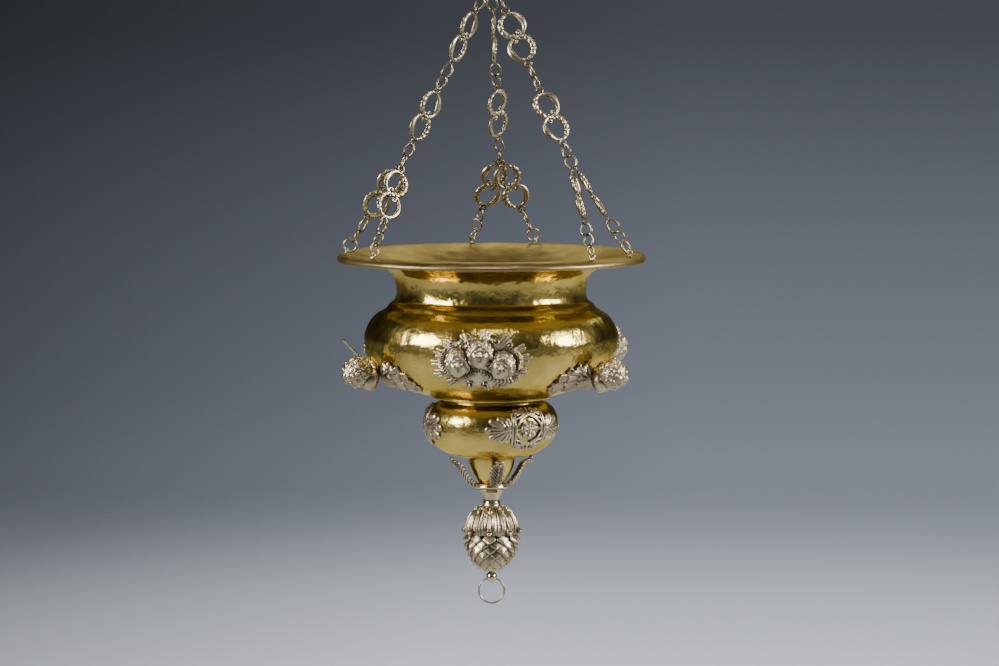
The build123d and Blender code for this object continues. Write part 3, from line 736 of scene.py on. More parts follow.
def reliefPlate(place, uRange, vRange, cell, height, inside, foot=0.0):
    # a closed plate: modelled front, plain back and a side wall round its outline
    u = np.arange(uRange[0], uRange[1] + cell, cell)
    v = np.arange(vRange[0], vRange[1] + cell, cell)
    gridU, gridV = np.meshgrid(u, v)
    keep = inside(gridU, gridV) > 0
    cells = keep[:-1, :-1] & keep[1:, :-1] & keep[:-1, 1:] & keep[1:, 1:]
    cols = gridU.shape[1]
    i, j = np.nonzero(cells)
    corner = i * cols + j
    front = np.stack([corner, corner + 1, corner + 1 + cols, corner + cols], 1)
    used = np.unique(front)
    number = np.full(gridU.size, -1)
    number[used] = np.arange(len(used))
    front = number[front]
    flatU, flatV = gridU.ravel()[used], gridV.ravel()[used]
    top = place(flatU, flatV, height(flatU, flatV))
    back = place(flatU, flatV, np.full(len(used), foot))
    edges = np.concatenate([front[:, [0, 1]], front[:, [1, 2]], front[:, [2, 3]], front[:, [3, 0]]])
    pairs = set(map(tuple, edges))
    rim = [e for e in pairs if (e[1], e[0]) not in pairs]
    base = len(used)
    faces = [tuple(f) for f in front] + [tuple(f[::-1] + base) for f in front]
    faces += [(b, a, a + base, b + base) for a, b in rim]
    return np.vstack([top, back]), faces


def strokeField(u, v, points, width, power=0.5):
    # 1 on the middle of a tapering stroke, 0 at its edge and outside, with the share along it
    points = np.array(points, float)
    width = np.broadcast_to(np.array(width, float), (len(points),))
    best = np.zeros(u.shape)
    share = np.zeros(u.shape)
    across = np.zeros(u.shape)
    lengths = np.concatenate([[0], np.cumsum(np.linalg.norm(np.diff(points, axis=0), axis=1))])
    for k in range(len(points) - 1):
        a, b = points[k], points[k + 1]
        d = b - a
        t = np.clip(((u - a[0]) * d[0] + (v - a[1]) * d[1]) / max(d.dot(d), 1e-9), 0, 1)
        w = width[k] + (width[k + 1] - width[k]) * t
        gapU, gapV = u - a[0] - d[0] * t, v - a[1] - d[1] * t
        gap = np.hypot(gapU, gapV) / np.maximum(w, 1e-6)
        value = np.clip(1 - gap ** 2, 0, 1) ** power
        better = value > best
        best = np.where(better, value, best)
        share = np.where(better, (lengths[k] + t * (lengths[k + 1] - lengths[k])) / lengths[-1], share)
        across = np.where(better, np.sign(gapU * d[1] - gapV * d[0]) * gap, across)
    return best, share, across


def spiralField(u, v, centre, radius, hand=1, turns=1.6):
    # a volute: a ridge winding in to a small eye
    du, dv = u - centre[0], v - centre[1]
    r = np.hypot(du, dv) / radius
    wound = np.cos(2 * pi * turns * r - hand * np.arctan2(dv, du))
    inside = np.clip(1 - r ** 4, 0, 1)
    return inside * (0.55 + 0.45 * wound) + np.exp(-(r / 0.2) ** 2) * 0.5, inside


def spiralPoints(centre, radius, start, sweep, count=18, inner=0.18):
    t = np.linspace(0, 1, count)
    reach = radius * ((1 - t) * (1 - inner) + inner)
    angle = np.radians(start + sweep * t)
    return [(centre[0] + r * cos(a), centre[1] + r * sin(a)) for r, a in zip(reach, angle)]


# a cherub's head, modelled once in its own frame: x right, y up, z the way it looks
headShape = {
    "detail": 6, "hairLine": 0.40, "hairThick": 0.15, "curlSize": 0.25, "curls": 64,
    "features": [
        # across, up, spread across, spread up, height
        (0.0, 0.22, 0.42, 0.10, 0.030), (0.0, -0.02, 0.07, 0.10, 0.045),
        (0.0, -0.16, 0.085, 0.095, 0.16), (0.105, -0.215, 0.045, 0.04, 0.05),
        (0.0, -0.30, 0.03, 0.04, -0.03), (0.27, 0.015, 0.15, 0.10, -0.150),
        (0.27, 0.01, 0.085, 0.055, 0.085), (0.27, 0.145, 0.17, 0.04, 0.055),
        (0.27, 0.055, 0.10, 0.014, 0.020), (0.27, -0.045, 0.09, 0.014, 0.015),
        (0.40, -0.27, 0.18, 0.16, 0.105), (0.07, -0.375, 0.075, 0.026, 0.075),
        (0.0, -0.450, 0.095, 0.032, 0.085), (0.0, -0.412, 0.15, 0.018, -0.060),
        (0.165, -0.40, 0.035, 0.04, -0.028), (0.0, -0.535, 0.12, 0.03, -0.028),
        (0.0, -0.67, 0.16, 0.11, 0.085), (0.24, -0.60, 0.15, 0.15, 0.02),
    ],
}


def modelHead(shape):
    bm = bmesh.new()
    bmesh.ops.create_icosphere(bm, subdivisions=shape["detail"], radius=1.0)
    sphere = np.array([v.co for v in bm.verts])
    faces = [tuple(v.index for v in f.verts) for f in bm.faces]
    bm.free()
    x, y, z = sphere.T
    facing = np.clip(z * 1.6, 0, 1)
    facing = facing * facing * (3 - 2 * facing)
    shift = np.zeros(len(sphere))
    for across, up, spreadAcross, spreadUp, rise in shape["features"]:
        for side in ((1,) if across == 0 else (1, -1)):
            reach = ((x - side * across) / spreadAcross) ** 2 + ((y - up) / spreadUp) ** 2
            shift += rise * np.exp(-reach) * facing

    # hair in curls: over the crown, down both temples and round the back
    line = shape["hairLine"] + 0.05 * np.cos(9 * x) - 0.9 * x * x - 0.35 * np.clip(np.abs(x) - 0.5, 0, 1)
    covered = np.clip((y - line) / 0.07, 0, 1)
    covered = np.maximum(covered, np.clip((0.18 - z) / 0.08, 0, 1) * np.clip((y + 0.75) / 0.1, 0, 1))
    index = np.arange(shape["curls"]) + 0.5
    lat = np.arccos(1 - 2 * index / shape["curls"])
    lon = pi * (1 + sqrt(5)) * index
    centres = np.stack([np.sin(lat) * np.cos(lon), np.cos(lat), np.sin(lat) * np.sin(lon)], 1)
    centres += rng.normal(0, 0.04, centres.shape)
    centres /= np.linalg.norm(centres, axis=1)[:, None]
    hands = rng.choice([-1, 1], len(centres))
    sizes = rng.uniform(0.85, 1.15, len(centres))
    near = sphere @ centres.T
    which = near.argmax(axis=1)
    d = np.arccos(np.clip(near.max(axis=1), -1, 1))
    middle = centres[which]
    side = np.cross(middle, (0.13, 0.97, 0.2))
    side /= np.linalg.norm(side, axis=1)[:, None]
    other = np.cross(middle, side)
    angle = np.arctan2((sphere * other).sum(1), (sphere * side).sum(1))
    curl = np.clip(1 - (d / (shape["curlSize"] * 1.35)) ** 2, 0, 1) ** 0.9
    strand = np.cos(2 * pi * d / 0.13 - hands[which] * angle)
    hair = shape["hairThick"] * (0.3 + 0.8 * curl * sizes[which]) + 0.03 * strand * curl
    shift = shift * (1 - covered) + hair * covered

    form = sphere * np.array([0.86, 1.0, 0.92])
    jaw = np.clip(-y, 0, 1)
    form[:, 0] *= 1 - 0.16 * jaw ** 2
    form[:, 2] *= 1 - 0.08 * jaw
    return form + sphere * shift[:, None], faces


headVerts, headFaces = modelHead(headShape)
print("cherub head modelled", len(headFaces))


def placeHead(frameHere, size, tilt=0.0, nod=0.0, look=0.0):
    # tilt turns it about the way it looks, nod tips the face down, look turns it aside
    origin, right, up, out = frameHere
    verts = headVerts * np.array(size)
    turn = Matrix.Rotation(radians(tilt), 3, "Z") @ Matrix.Rotation(radians(nod), 3, "X")
    turn = turn @ Matrix.Rotation(radians(look), 3, "Y")
    verts = verts @ np.array(turn).T
    return origin + verts @ np.array([right, up, out]), headFaces


# cherub trio plaques
trioShape = {
    "azimuths": (0, 120, 240), "height": -88.0, "cell": 0.42, "plateAcross": 36.0, "plateUp": 23.5,
    "thick": 1.2, "rayTips": (45.5, 28.5), "bundles": 15, "rayWidth": 1.5, "nod": -16.0,
    "heads": [
        # across, up, out, half width, half height, half depth, tilt, look
        (-18.0, 2.0, 4.4, 10.6, 13.4, 9.2, 6.0, 16.0), (0.6, 9.4, 5.2, 11.2, 13.0, 9.2, 2.0, 4.0),
        (18.0, 0.2, 4.6, 11.2, 13.0, 9.2, -24.0, -12.0),
    ],
    "volutes": [(-9.8, -18.8, 4.4, 1), (3.4, -19.2, 4.4, -1), (-22.0, -13.2, 4.2, 1), (16.0, -19.0, 3.6, 1),
                (-31.5, -7.0, 3.6, -1), (26.0, -15.4, 3.4, -1), (-31.0, 9.5, 3.4, 1), (32.5, -4.0, 3.4, 1),
                (31.0, 9.0, 3.4, -1), (-14.5, 19.0, 3.2, 1), (13.6, 19.5, 3.2, -1), (-24.0, 16.4, 3.2, -1),
                (24.5, 16.0, 3.2, 1)],
    "wings": [
        ([(-2.5, -4.5), (-8, -6.8), (-15, -10.0), (-22, -12.0)], (2.0, 4.2, 3.8, 1.4)),
        ([(1.5, -5.5), (8, -10.5), (18, -14.0), (28, -14.0), (33.5, -10.0)], (1.8, 3.8, 4.4, 3.6, 1.2)),
        ([(-29.5, 12.0), (-33.0, 4.0), (-31.5, -3.5), (-26.5, -9.0)], (1.2, 3.4, 3.8, 1.6)),
        ([(29.5, 13.0), (33.0, 5.0), (32.6, -3.0)], (1.2, 3.2, 1.4)),
    ],
}


def trioRays(u, v, shape):
    # bundles of two or three fluted rays round the plate
    best = np.zeros(u.shape)
    for k in range(shape["bundles"]):
        middle = 2 * pi * (k + 0.5) / shape["bundles"] + 0.06 * sin(5.3 * k)
        count = 3 if k % 3 != 1 else 2
        for ray in range(count):
            off = (ray - (count - 1) / 2)
            tip = (1 - 0.06 * abs(off)) * (0.97 + 0.04 * sin(7.1 * k))
            across, up = shape["rayTips"]
            end = np.array([across * cos(middle), up * sin(middle)]) * tip
            start = end * 0.62
            side = unitVector(np.array([-end[1], end[0]]))
            value, _, _ = strokeField(u, v, [start + side * off * 2.2, end + side * off * 2.9],
                                      [shape["rayWidth"] * 0.8, shape["rayWidth"]], 0.35)
            best = np.maximum(best, value)
    return best


def trioHeight(u, v, shape, rough):
    rays = trioRays(u, v, shape)
    edge = 1 - (u / shape["plateAcross"]) ** 2 - (v / shape["plateUp"]) ** 2
    edge += 0.06 * np.cos(14 * np.arctan2(v / shape["plateUp"], u / shape["plateAcross"]))
    plate = np.clip(edge * 6, 0, 1) ** 0.5
    high = 0.5 + rays * 1.7
    high = np.maximum(high, 0.5 + plate * shape["thick"])
    mask = np.maximum(rays, edge)
    for cu, cv, radius, hand in shape["volutes"]:
        value, disc = spiralField(u, v, (cu, cv), radius, hand)
        high = np.maximum(high, np.where(disc > 0, 1.3 + 2.8 * value, 0))
        mask = np.maximum(mask, np.where(disc > 0.02, 1, -1))
    for points, width in shape["wings"]:
        value, share, side = strokeField(u, v, smoothLine(points, 6), np.interp(
            np.linspace(0, 1, 6 * (len(points) - 1) + 1), np.linspace(0, 1, len(width)), width))
        barbs = np.cos(2 * pi * (share * 11 + 0.8 * np.abs(side)))
        quill = np.exp(-(side / 0.14) ** 2)
        feather = 1.7 + 2.2 * value + 0.75 * barbs * value + 0.6 * quill
        high = np.maximum(high, np.where(value > 0, feather, 0))
        mask = np.maximum(mask, np.where(value > 0.05, 1, -1))
    return high + rough * np.clip(plate, 0.2, 1), mask


def chased(u, v, size, depth):
    # small uneven tool marks
    total = np.zeros(u.shape)
    marks = np.random.default_rng(5)
    for k in range(10):
        way = marks.uniform(0, 2 * pi)
        wave = 2 * pi / (size * marks.uniform(0.7, 1.5))
        total += np.sin(wave * (u * cos(way) + v * sin(way)) + marks.uniform(0, 6.3))
    return depth * total / sqrt(10)


for number, azimuth in enumerate(trioShape["azimuths"], 1):
    place = wrapOn(bellyCurve, azimuth, trioShape["height"])
    plate = reliefPlate(place, (-48, 48), (-31, 31), trioShape["cell"],
                        lambda u, v: trioHeight(u, v, trioShape, chased(u, v, 2.6, 0.12))[0],
                        lambda u, v: trioHeight(u, v, trioShape, 0)[1])
    parts = [plate]
    for u, v, out, wide, tall, deep, tilt, look in trioShape["heads"]:
        size = (wide / 0.97, tall / 1.12, deep / 0.95)
        parts.append(placeHead(frameAt(place, u, v, out), size, tilt, trioShape["nod"], look))
    verts, faces = join(parts)
    plaque = outward(meshObject(f"cherubTrioPlaque{number}", verts * mm, faces, castSilver))
    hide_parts(f"cherub_trio_plaque_{number}")
    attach(plaque, lampBody)
print("trio plaques done")


# winged cherubs that carry the strap tabs
wingedShape = {
    "azimuths": (60, 180, 300), "headRadius": 127.0, "headHeight": -100.5, "lean": 20.0,
    "headSize": (12.2, 13.4, 12.6), "wingHeight": -105.0, "cell": 0.42, "shoulder": (5.0, 5.0),
    "outline": [(-1.0, 9.0), (6.0, 12.0), (12.0, 17.5), (15.5, 13.5), (20.0, 19.0), (23.5, 13.0),
                (29.0, 15.5), (31.0, 9.0), (36.0, 8.5), (36.5, 2.0), (40.0, -1.0), (39.0, -6.0),
                (41.0, -11.0), (37.5, -14.0), (36.5, -18.5), (31.0, -17.5), (27.0, -20.0),
                (22.0, -16.5), (16.0, -17.5), (10.0, -13.0), (4.0, -13.5), (-1.0, -10.0)],
}


def insidePolygon(u, v, outline):
    inside = np.zeros(u.shape, bool)
    for (ua, va), (ub, vb) in zip(outline, outline[1:] + outline[:1]):
        crosses = (va > v) != (vb > v)
        at = (ub - ua) * (v - va) / (vb - va + 1e-12) + ua
        inside ^= crosses & (u < at)
    return inside


def edgeDistance(u, v, outline):
    best = np.full(u.shape, 1e9)
    for a, b in zip(outline, outline[1:] + outline[:1]):
        a, b = np.array(a), np.array(b)
        d = b - a
        t = np.clip(((u - a[0]) * d[0] + (v - a[1]) * d[1]) / d.dot(d), 0, 1)
        best = np.minimum(best, np.hypot(u - a[0] - d[0] * t, v - a[1] - d[1] * t))
    return best


def wingHeight(u, v, shape):
    # three overlapping rows of feathers fanning out from the shoulder
    side = np.abs(u)
    du, dv = side - shape["shoulder"][0], v - shape["shoulder"][1]
    r, angle = np.hypot(du, dv), np.arctan2(dv, du)
    row = np.clip(np.floor(r / 11.5), 0, 3)
    within = r / 11.5 - row
    feathers = angle * (5 + 3.0 * row) + 0.5 * row
    lobe = np.abs(np.cos(feathers)) ** 0.6
    barbs = np.cos(2 * pi * (r / 1.9 + 0.9 * np.abs(np.sin(feathers))))
    high = 0.8 + 2.2 * np.exp(-r / 15) + 2.5 * lobe * (0.3 + 0.7 * within) + 0.4 * barbs * lobe
    brink = np.clip(edgeDistance(side, v, shape["outline"]) / 1.4, 0, 1) ** 0.5
    return 0.3 + high * brink


for number, azimuth in enumerate(wingedShape["azimuths"], 1):
    place = wrapOn(bellyCurve, azimuth, wingedShape["wingHeight"])
    wings = reliefPlate(place, (-42, 42), (-21, 20), wingedShape["cell"],
                        lambda u, v: wingHeight(u, v, wingedShape),
                        lambda u, v: insidePolygon(np.abs(u), v, wingedShape["outline"]).astype(float))
    outWay, upWay = radial(azimuth), np.array([0, 0, 1.0])
    lean = radians(wingedShape["lean"])
    look = outWay * sin(lean) - upWay * cos(lean)
    crown = outWay * cos(lean) + upWay * sin(lean)
    middle = outWay * wingedShape["headRadius"] + upWay * (wingedShape["headHeight"] + rimCrestMm)
    headFrame = (middle, np.cross(crown, look), crown, look)
    wide, tall, deep = wingedShape["headSize"]
    parts = [wings, placeHead(headFrame, (wide / 0.97, tall / 1.12, deep / 0.95))]
    # the breast: a ruff of small feathers between the head and the wings
    neckPath = [middle - crown * 6, middle - crown * 12 + look * 1.5, middle - crown * 17 + look * 1.0]
    parts.append(tube(neckPath, (8.2, 9.4, 9.0), 48, normal=look,
                      relief=lambda s, a: 0.9 * np.abs(np.cos(5 * a + 2.5 * s)) ** 0.5))
    verts, faces = join(parts)
    cherub = outward(meshObject(f"wingedCherub{number}", verts * mm, faces, castSilver))
    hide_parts(f"winged_cherub_{number}")
    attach(cherub, lampBody)
print("winged cherubs done")


# strap tabs: a bent strip with a hole near its upper end
strapShape = {
    "line": [(114.5, -96.5), (121.0, -90.8), (129.0, -83.0), (134.8, -77.1), (140.3, -71.5)],
    "hole": (135.8, -76.1), "holeRadius": 0.95, "width": 5.8, "thick": 1.2, "cell": 0.24,
}
strapCurve = smoothLine(strapShape["line"], 8)
strapSteps = np.concatenate([[0], np.cumsum(np.linalg.norm(np.diff(strapCurve, axis=0), axis=1))])
holeAt = strapSteps[np.argmin(np.linalg.norm(strapCurve - np.array(strapShape["hole"]), axis=1))]


def strapPlace(azimuth):
    out, side = radial(azimuth), radial(azimuth + 90)
    slope = np.gradient(strapCurve, strapSteps, axis=0)
    slope /= np.linalg.norm(slope, axis=1)[:, None]

    def place(u, v, h):
        r, z = np.interp(v, strapSteps, strapCurve[:, 0]), np.interp(v, strapSteps, strapCurve[:, 1])
        tr, tz = np.interp(v, strapSteps, slope[:, 0]), np.interp(v, strapSteps, slope[:, 1])
        r, z = r - tz * h, z + tr * h
        return np.outer(r, out) + np.outer(u, side) + np.outer(z + rimCrestMm, (0, 0, 1))

    return place


def strapInside(u, v):
    half, length = strapShape["width"] / 2, strapSteps[-1]
    corner = np.maximum(np.abs(u) - half + 1, 0) ** 2 + np.maximum(v - length + 1, 0) ** 2 <= 1.02
    body = (np.abs(u) <= half + 1e-6) & (v <= length) & (v >= 0) & corner
    return (body & (np.hypot(u, v - holeAt) > strapShape["holeRadius"])).astype(float)


for number, azimuth in enumerate(wingedShape["azimuths"], 1):
    half = strapShape["thick"] / 2
    verts, faces = reliefPlate(strapPlace(azimuth), (-2.9, 2.9), (0, strapSteps[-1]), strapShape["cell"],
                               lambda u, v: np.full(u.shape, half), strapInside, foot=-half)
    strap = outward(meshObject(f"strapTab{number}", verts * mm, faces, stripSilver, smooth=False))
    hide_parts(f"strap_tab_{number}")
    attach(strap, lampBody)
print("strap tabs done")


# pierced strapwork on the bulb: a framed rosette between scrolls and two palmettes
strapworkShape = {
    "azimuths": (39, 159, 279), "height": -150.0, "cell": 0.34, "thick": 0.9,
    "plateAcross": 43, "plateUp": 20.5,
    "rosette": 9.0, "frame": 12.6, "petals": 8, "palmetteFoot": 17.5, "lobes": 7,
}


def strapworkStrokes():
    # every bar and scroll of one quarter, mirrored into the other three
    quarter = [
        ([(0.0, 12.8), (7.0, 9.4), (12.4, 3.4), (13.4, 0.0)], (1.35, 1.35, 1.35, 1.35)),
        ([(16.2, 0.0), (16.4, 6.0), (15.8, 13.6)], (1.35, 1.4, 1.2)),
        ([(13.6, 0.0), (13.8, 7.0), (13.2, 14.0)], (0.85, 0.9, 0.85)),
        ([(1.4, 13.6), (4.5, 13.2), (9.0, 10.0), (13.0, 8.6)], (1.2, 1.1, 1.0, 0.9)),
        (spiralPoints((5.2, 16.2), 3.6, -100, 470), tuple(np.linspace(1.35, 0.8, 18))),
        ([(4.6, 13.1), (8.4, 13.6), (11.0, 12.2)], (1.0, 1.0, 0.8)),
        (spiralPoints((12.4, 15.2), 3.2, 250, -470), tuple(np.linspace(1.3, 0.8, 18))),
        ([(0.0, 12.8), (0.0, 17.0), (0.6, 19.0)], (1.1, 1.2, 0.7)),
        ([(15.8, 3.2), (19.5, 5.0), (20.5, 8.5)], (0.9, 0.9, 0.7)),
    ]
    strokes = []
    for acrossSign in (1, -1):
        for upSign in (1, -1):
            for points, width in quarter:
                strokes.append(([(acrossSign * x, upSign * y) for x, y in points], width))
    return strokes


def strapworkField(u, v, shape, strokes):
    high = np.zeros(u.shape)
    mask = np.full(u.shape, -1.0)
    for points, width in strokes:
        value, share, side = strokeField(u, v, points, width)
        ridge = 0.30 * np.clip(np.abs(side) - 0.35, 0, 1) * (value > 0)
        high = np.maximum(high, np.where(value > 0, 0.9 + 1.15 * value + ridge, 0))
        mask = np.maximum(mask, np.where(value > 0.05, 1, -1))

    # rosette: eight cupped petals round a button, on four short stalks
    r, angle = np.hypot(u, v), np.arctan2(v, u)
    petal = np.abs(np.cos(shape["petals"] / 2 * angle))
    reach = shape["rosette"] * (0.80 + 0.20 * petal ** 0.5)
    cup = np.clip(1 - (r / reach) ** 6, 0, 1)
    rosette = 0.8 + 1.2 * petal ** 0.6 * np.clip(r / 5, 0, 1) * cup + 0.3 * np.cos(r * 2.2) * petal
    rosette += 1.1 * np.exp(-(r / 1.7) ** 2)
    inRosette = r < reach
    high = np.where(inRosette, np.maximum(high, rosette), high)
    mask = np.where(inRosette, 1, mask)
    stalk = (np.abs(v) < 0.8) & (r < shape["frame"])
    high = np.where(stalk & ~inRosette, np.maximum(high, 1.1), high)
    mask = np.where(stalk, 1, mask)

    # palmettes: seven lobes from a small shell
    for side in (1, -1):
        du, dv = side * u - shape["palmetteFoot"], v
        for k in range(shape["lobes"]):
            way = radians(-84 + 28 * k)
            length = 8.4 + 8.2 * cos(way) ** 2
            end = (length * cos(way) + 3.2, length * 1.0 * sin(way))
            points = [(2.0, 0.0), (end[0] * 0.62, end[1] * 0.56), end]
            value, share, across = strokeField(du, dv, points, (1.6, 3.1, 3.3), 0.5)
            groove = 0.8 * np.exp(-(across / 0.26) ** 2) * (share < 0.9)
            drop = 0.8 * np.clip(np.abs(across) - 0.55, 0, 1)
            high = np.maximum(high, np.where(value > 0, 1.0 + 1.5 * value - groove - drop, 0))
            mask = np.maximum(mask, np.where(value > 0.05, 1, -1))
        shell = 1 - ((du - 4.0) / 4.8) ** 2 - (dv / 4.2) ** 2
        ribs = 0.25 * np.cos(9 * np.arctan2(dv, du + 0.5))
        high = np.maximum(high, np.where(shell > 0, 1.0 + 1.5 * np.clip(shell, 0, 1) ** 0.5 + ribs, 0))
        mask = np.maximum(mask, np.where(shell > 0, 1, -1))
    return high, mask


strokes = strapworkStrokes()
strapThick, strapAcross, strapUp = (strapworkShape[w] for w in ("thick", "plateAcross", "plateUp"))
for number, azimuth in enumerate(strapworkShape["azimuths"], 1):
    place = wrapOn(bulbCurve, azimuth, strapworkShape["height"])
    verts, faces = reliefPlate(place, (-strapAcross, strapAcross), (-strapUp, strapUp),
                               strapworkShape["cell"],
                               lambda u, v: strapworkField(u, v, strapworkShape, strokes)[0] * strapThick,
                               lambda u, v: strapworkField(u, v, strapworkShape, strokes)[1])
    ornament = outward(meshObject(f"strapworkOrnament{number}", verts * mm, faces, castSilver))
    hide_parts(f"strapwork_ornament_{number}")
    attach(ornament, lampBody)
print("strapwork done")


# four veined leaves cast on one washer
leafShape = {
    "azimuths": (17, 107, 197, 287), "cell": 0.3, "halfWidth": 7.3, "curl": (35.4, -180.6),
    "line": [(12.5, -203.7), (19.5, -199.5), (25.0, -191.5), (29.0, -185.0), (35.0, -181.6)],
}
leafCurve = smoothLine(leafShape["line"], 12)
leafSteps = np.concatenate([[0], np.cumsum(np.linalg.norm(np.diff(leafCurve, axis=0), axis=1))])
leafSlope = np.gradient(leafCurve, leafSteps, axis=0)
leafSlope /= np.linalg.norm(leafSlope, axis=1)[:, None]


def leafPlace(azimuth):
    out, side = radial(azimuth), radial(azimuth + 90)

    def place(u, v, h):
        r, z = np.interp(v, leafSteps, leafCurve[:, 0]), np.interp(v, leafSteps, leafCurve[:, 1])
        tr, tz = np.interp(v, leafSteps, leafSlope[:, 0]), np.interp(v, leafSteps, leafSlope[:, 1])
        h = h - 0.035 * u ** 2
        r, z = r + tz * h, z - tr * h
        return np.outer(r, out) + np.outer(u, side) + np.outer(z + rimCrestMm, (0, 0, 1))

    return place


def leafWidth(v, shape):
    share = np.clip(v / leafSteps[-1], 0, 1)
    width = shape["halfWidth"] * np.clip(0.55 + 1.6 * share, 0, 1)
    width = width * np.clip((1.03 - share) * 3.2, 0, 1) ** 0.55
    return width * (1 - 0.22 * np.abs(np.sin(v * 0.95)))


def leafHeight(u, v, shape):
    width = np.maximum(leafWidth(v, shape), 0.5)
    side = np.abs(u) / width
    veins = np.abs(np.sin((v - 1.1 * np.abs(u)) * 0.95))
    rib = 1.2 * np.exp(-(u / 0.6) ** 2)
    return 0.6 + rib + 1.9 * veins * np.clip(1.2 - side, 0, 1) + 0.5 * (1 - side ** 2)


leafParts = []
for azimuth in leafShape["azimuths"]:
    leafParts.append(reliefPlate(leafPlace(azimuth), (-8.0, 8.0), (0, leafSteps[-1]), leafShape["cell"],
                                  lambda u, v: leafHeight(u, v, leafShape),
                                  lambda u, v: leafWidth(v, leafShape) - np.abs(u)))
    curl = radial(azimuth) * leafShape["curl"][0] + np.array([0, 0, leafShape["curl"][1] + rimCrestMm])
    across = radial(azimuth + 90)
    leafParts.append(tube([curl + across * s for s in (-4.2, -2.2, 0, 2.2, 4.2)],
                          (0.5, 1.3, 1.7, 1.3, 0.5), 20))
angles = np.linspace(0, 2 * pi, 72, endpoint=False)
profile = [(3.3, -204.0), (3.3, -203.15), (13.8, -203.15), (14.5, -203.6), (13.8, -204.0)]
washerVerts = [(r * cos(t), r * sin(t), z + rimCrestMm) for r, z in profile for t in angles]
leafParts.append((np.array(washerVerts), gridFaces(len(profile), len(angles), True, True)))
verts, faces = join(leafParts)
calyx = outward(meshObject("leafCalyx", verts * mm, faces, castSilver))
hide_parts("leaf_calyx")
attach(calyx, lampBody)

# finial: turned collar and neck
collarLine = [(3.3, -204.1), (13.2, -204.1), (14.1, -204.6), (14.5, -205.6), (14.1, -206.7), (13.0, -207.3),
              (11.6, -207.6), (11.9, -208.3), (11.4, -209.0), (10.2, -209.3), (9.2, -210.6), (8.3, -212.6),
              (7.6, -214.8), (7.2, -217.0), (7.2, -218.8), (7.5, -219.4), (7.6, -219.9), (3.3, -219.9)]
collar = lathe("finialCollar", ease(collarLine), turnedSilver, 128)
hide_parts("finial_collar")
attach(collar, lampBody)

# pine cone: an acanthus cup over rows of scales; the scales are laid out by a node tree
coneShape = {
    "middle": -249.0, "tall": 32.0, "wide": 20.6, "rows": 8, "inRow": 11, "firstRow": -246.5,
    "lastRow": -277.5, "scaleWide": 13.4, "scaleTall": 8.6, "scaleThick": 2.0, "droop": 17.0, "seed": 4,
    "cup": [(7.5, -220.0), (8.0, -222.2), (10.0, -224.6), (14.2, -227.4), (18.2, -231.4), (21.0, -237.0),
            (22.2, -243.0), (21.2, -247.0)],
    "leaves": 8, "knobs": 8, "knobReach": 24.4, "knobHeight": -244.6, "foot": -281.0,
}


def coneScale(shape):
    # one pointed scale: x across, -y outwards, z down to its tip
    wide, tall, thick = shape["scaleWide"], shape["scaleTall"], shape["scaleThick"]
    rows, cols = 12, 13
    front, back = [], []
    for i in range(rows):
        t = i / (rows - 1)
        upper = 0.55 + 0.8 * t
        lower = 0.91 * max(1 - (max(t - 0.45, 0) / 0.55) ** 1.35, 0) ** 0.8 + 0.02
        half = wide / 2 * (upper if t < 0.45 else lower)
        for j in range(cols):
            s = j / (cols - 1) * 2 - 1
            swell = thick * (0.3 + 0.7 * t) * (1 - abs(s) ** 3) + 0.35 * np.exp(-(s / 0.16) ** 2) * t
            front.append((s * half, -swell, -t * tall))
            back.append((s * half, 0.9, -t * tall))
    faces = gridFaces(rows, cols)
    count = rows * cols
    faces += [tuple(i + count for i in f[::-1]) for f in faces]
    edge = [(0, j) for j in range(cols)] + [(i, cols - 1) for i in range(1, rows)]
    edge += [(rows - 1, j) for j in range(cols - 2, -1, -1)] + [(i, 0) for i in range(rows - 2, 0, -1)]
    index = [i * cols + j for i, j in edge]
    faces += [(b, a, a + count, b + count) for a, b in zip(index, index[1:] + index[:1])]
    return outward(meshObject("coneScale", np.array(front + back) * mm, faces, castSilver))


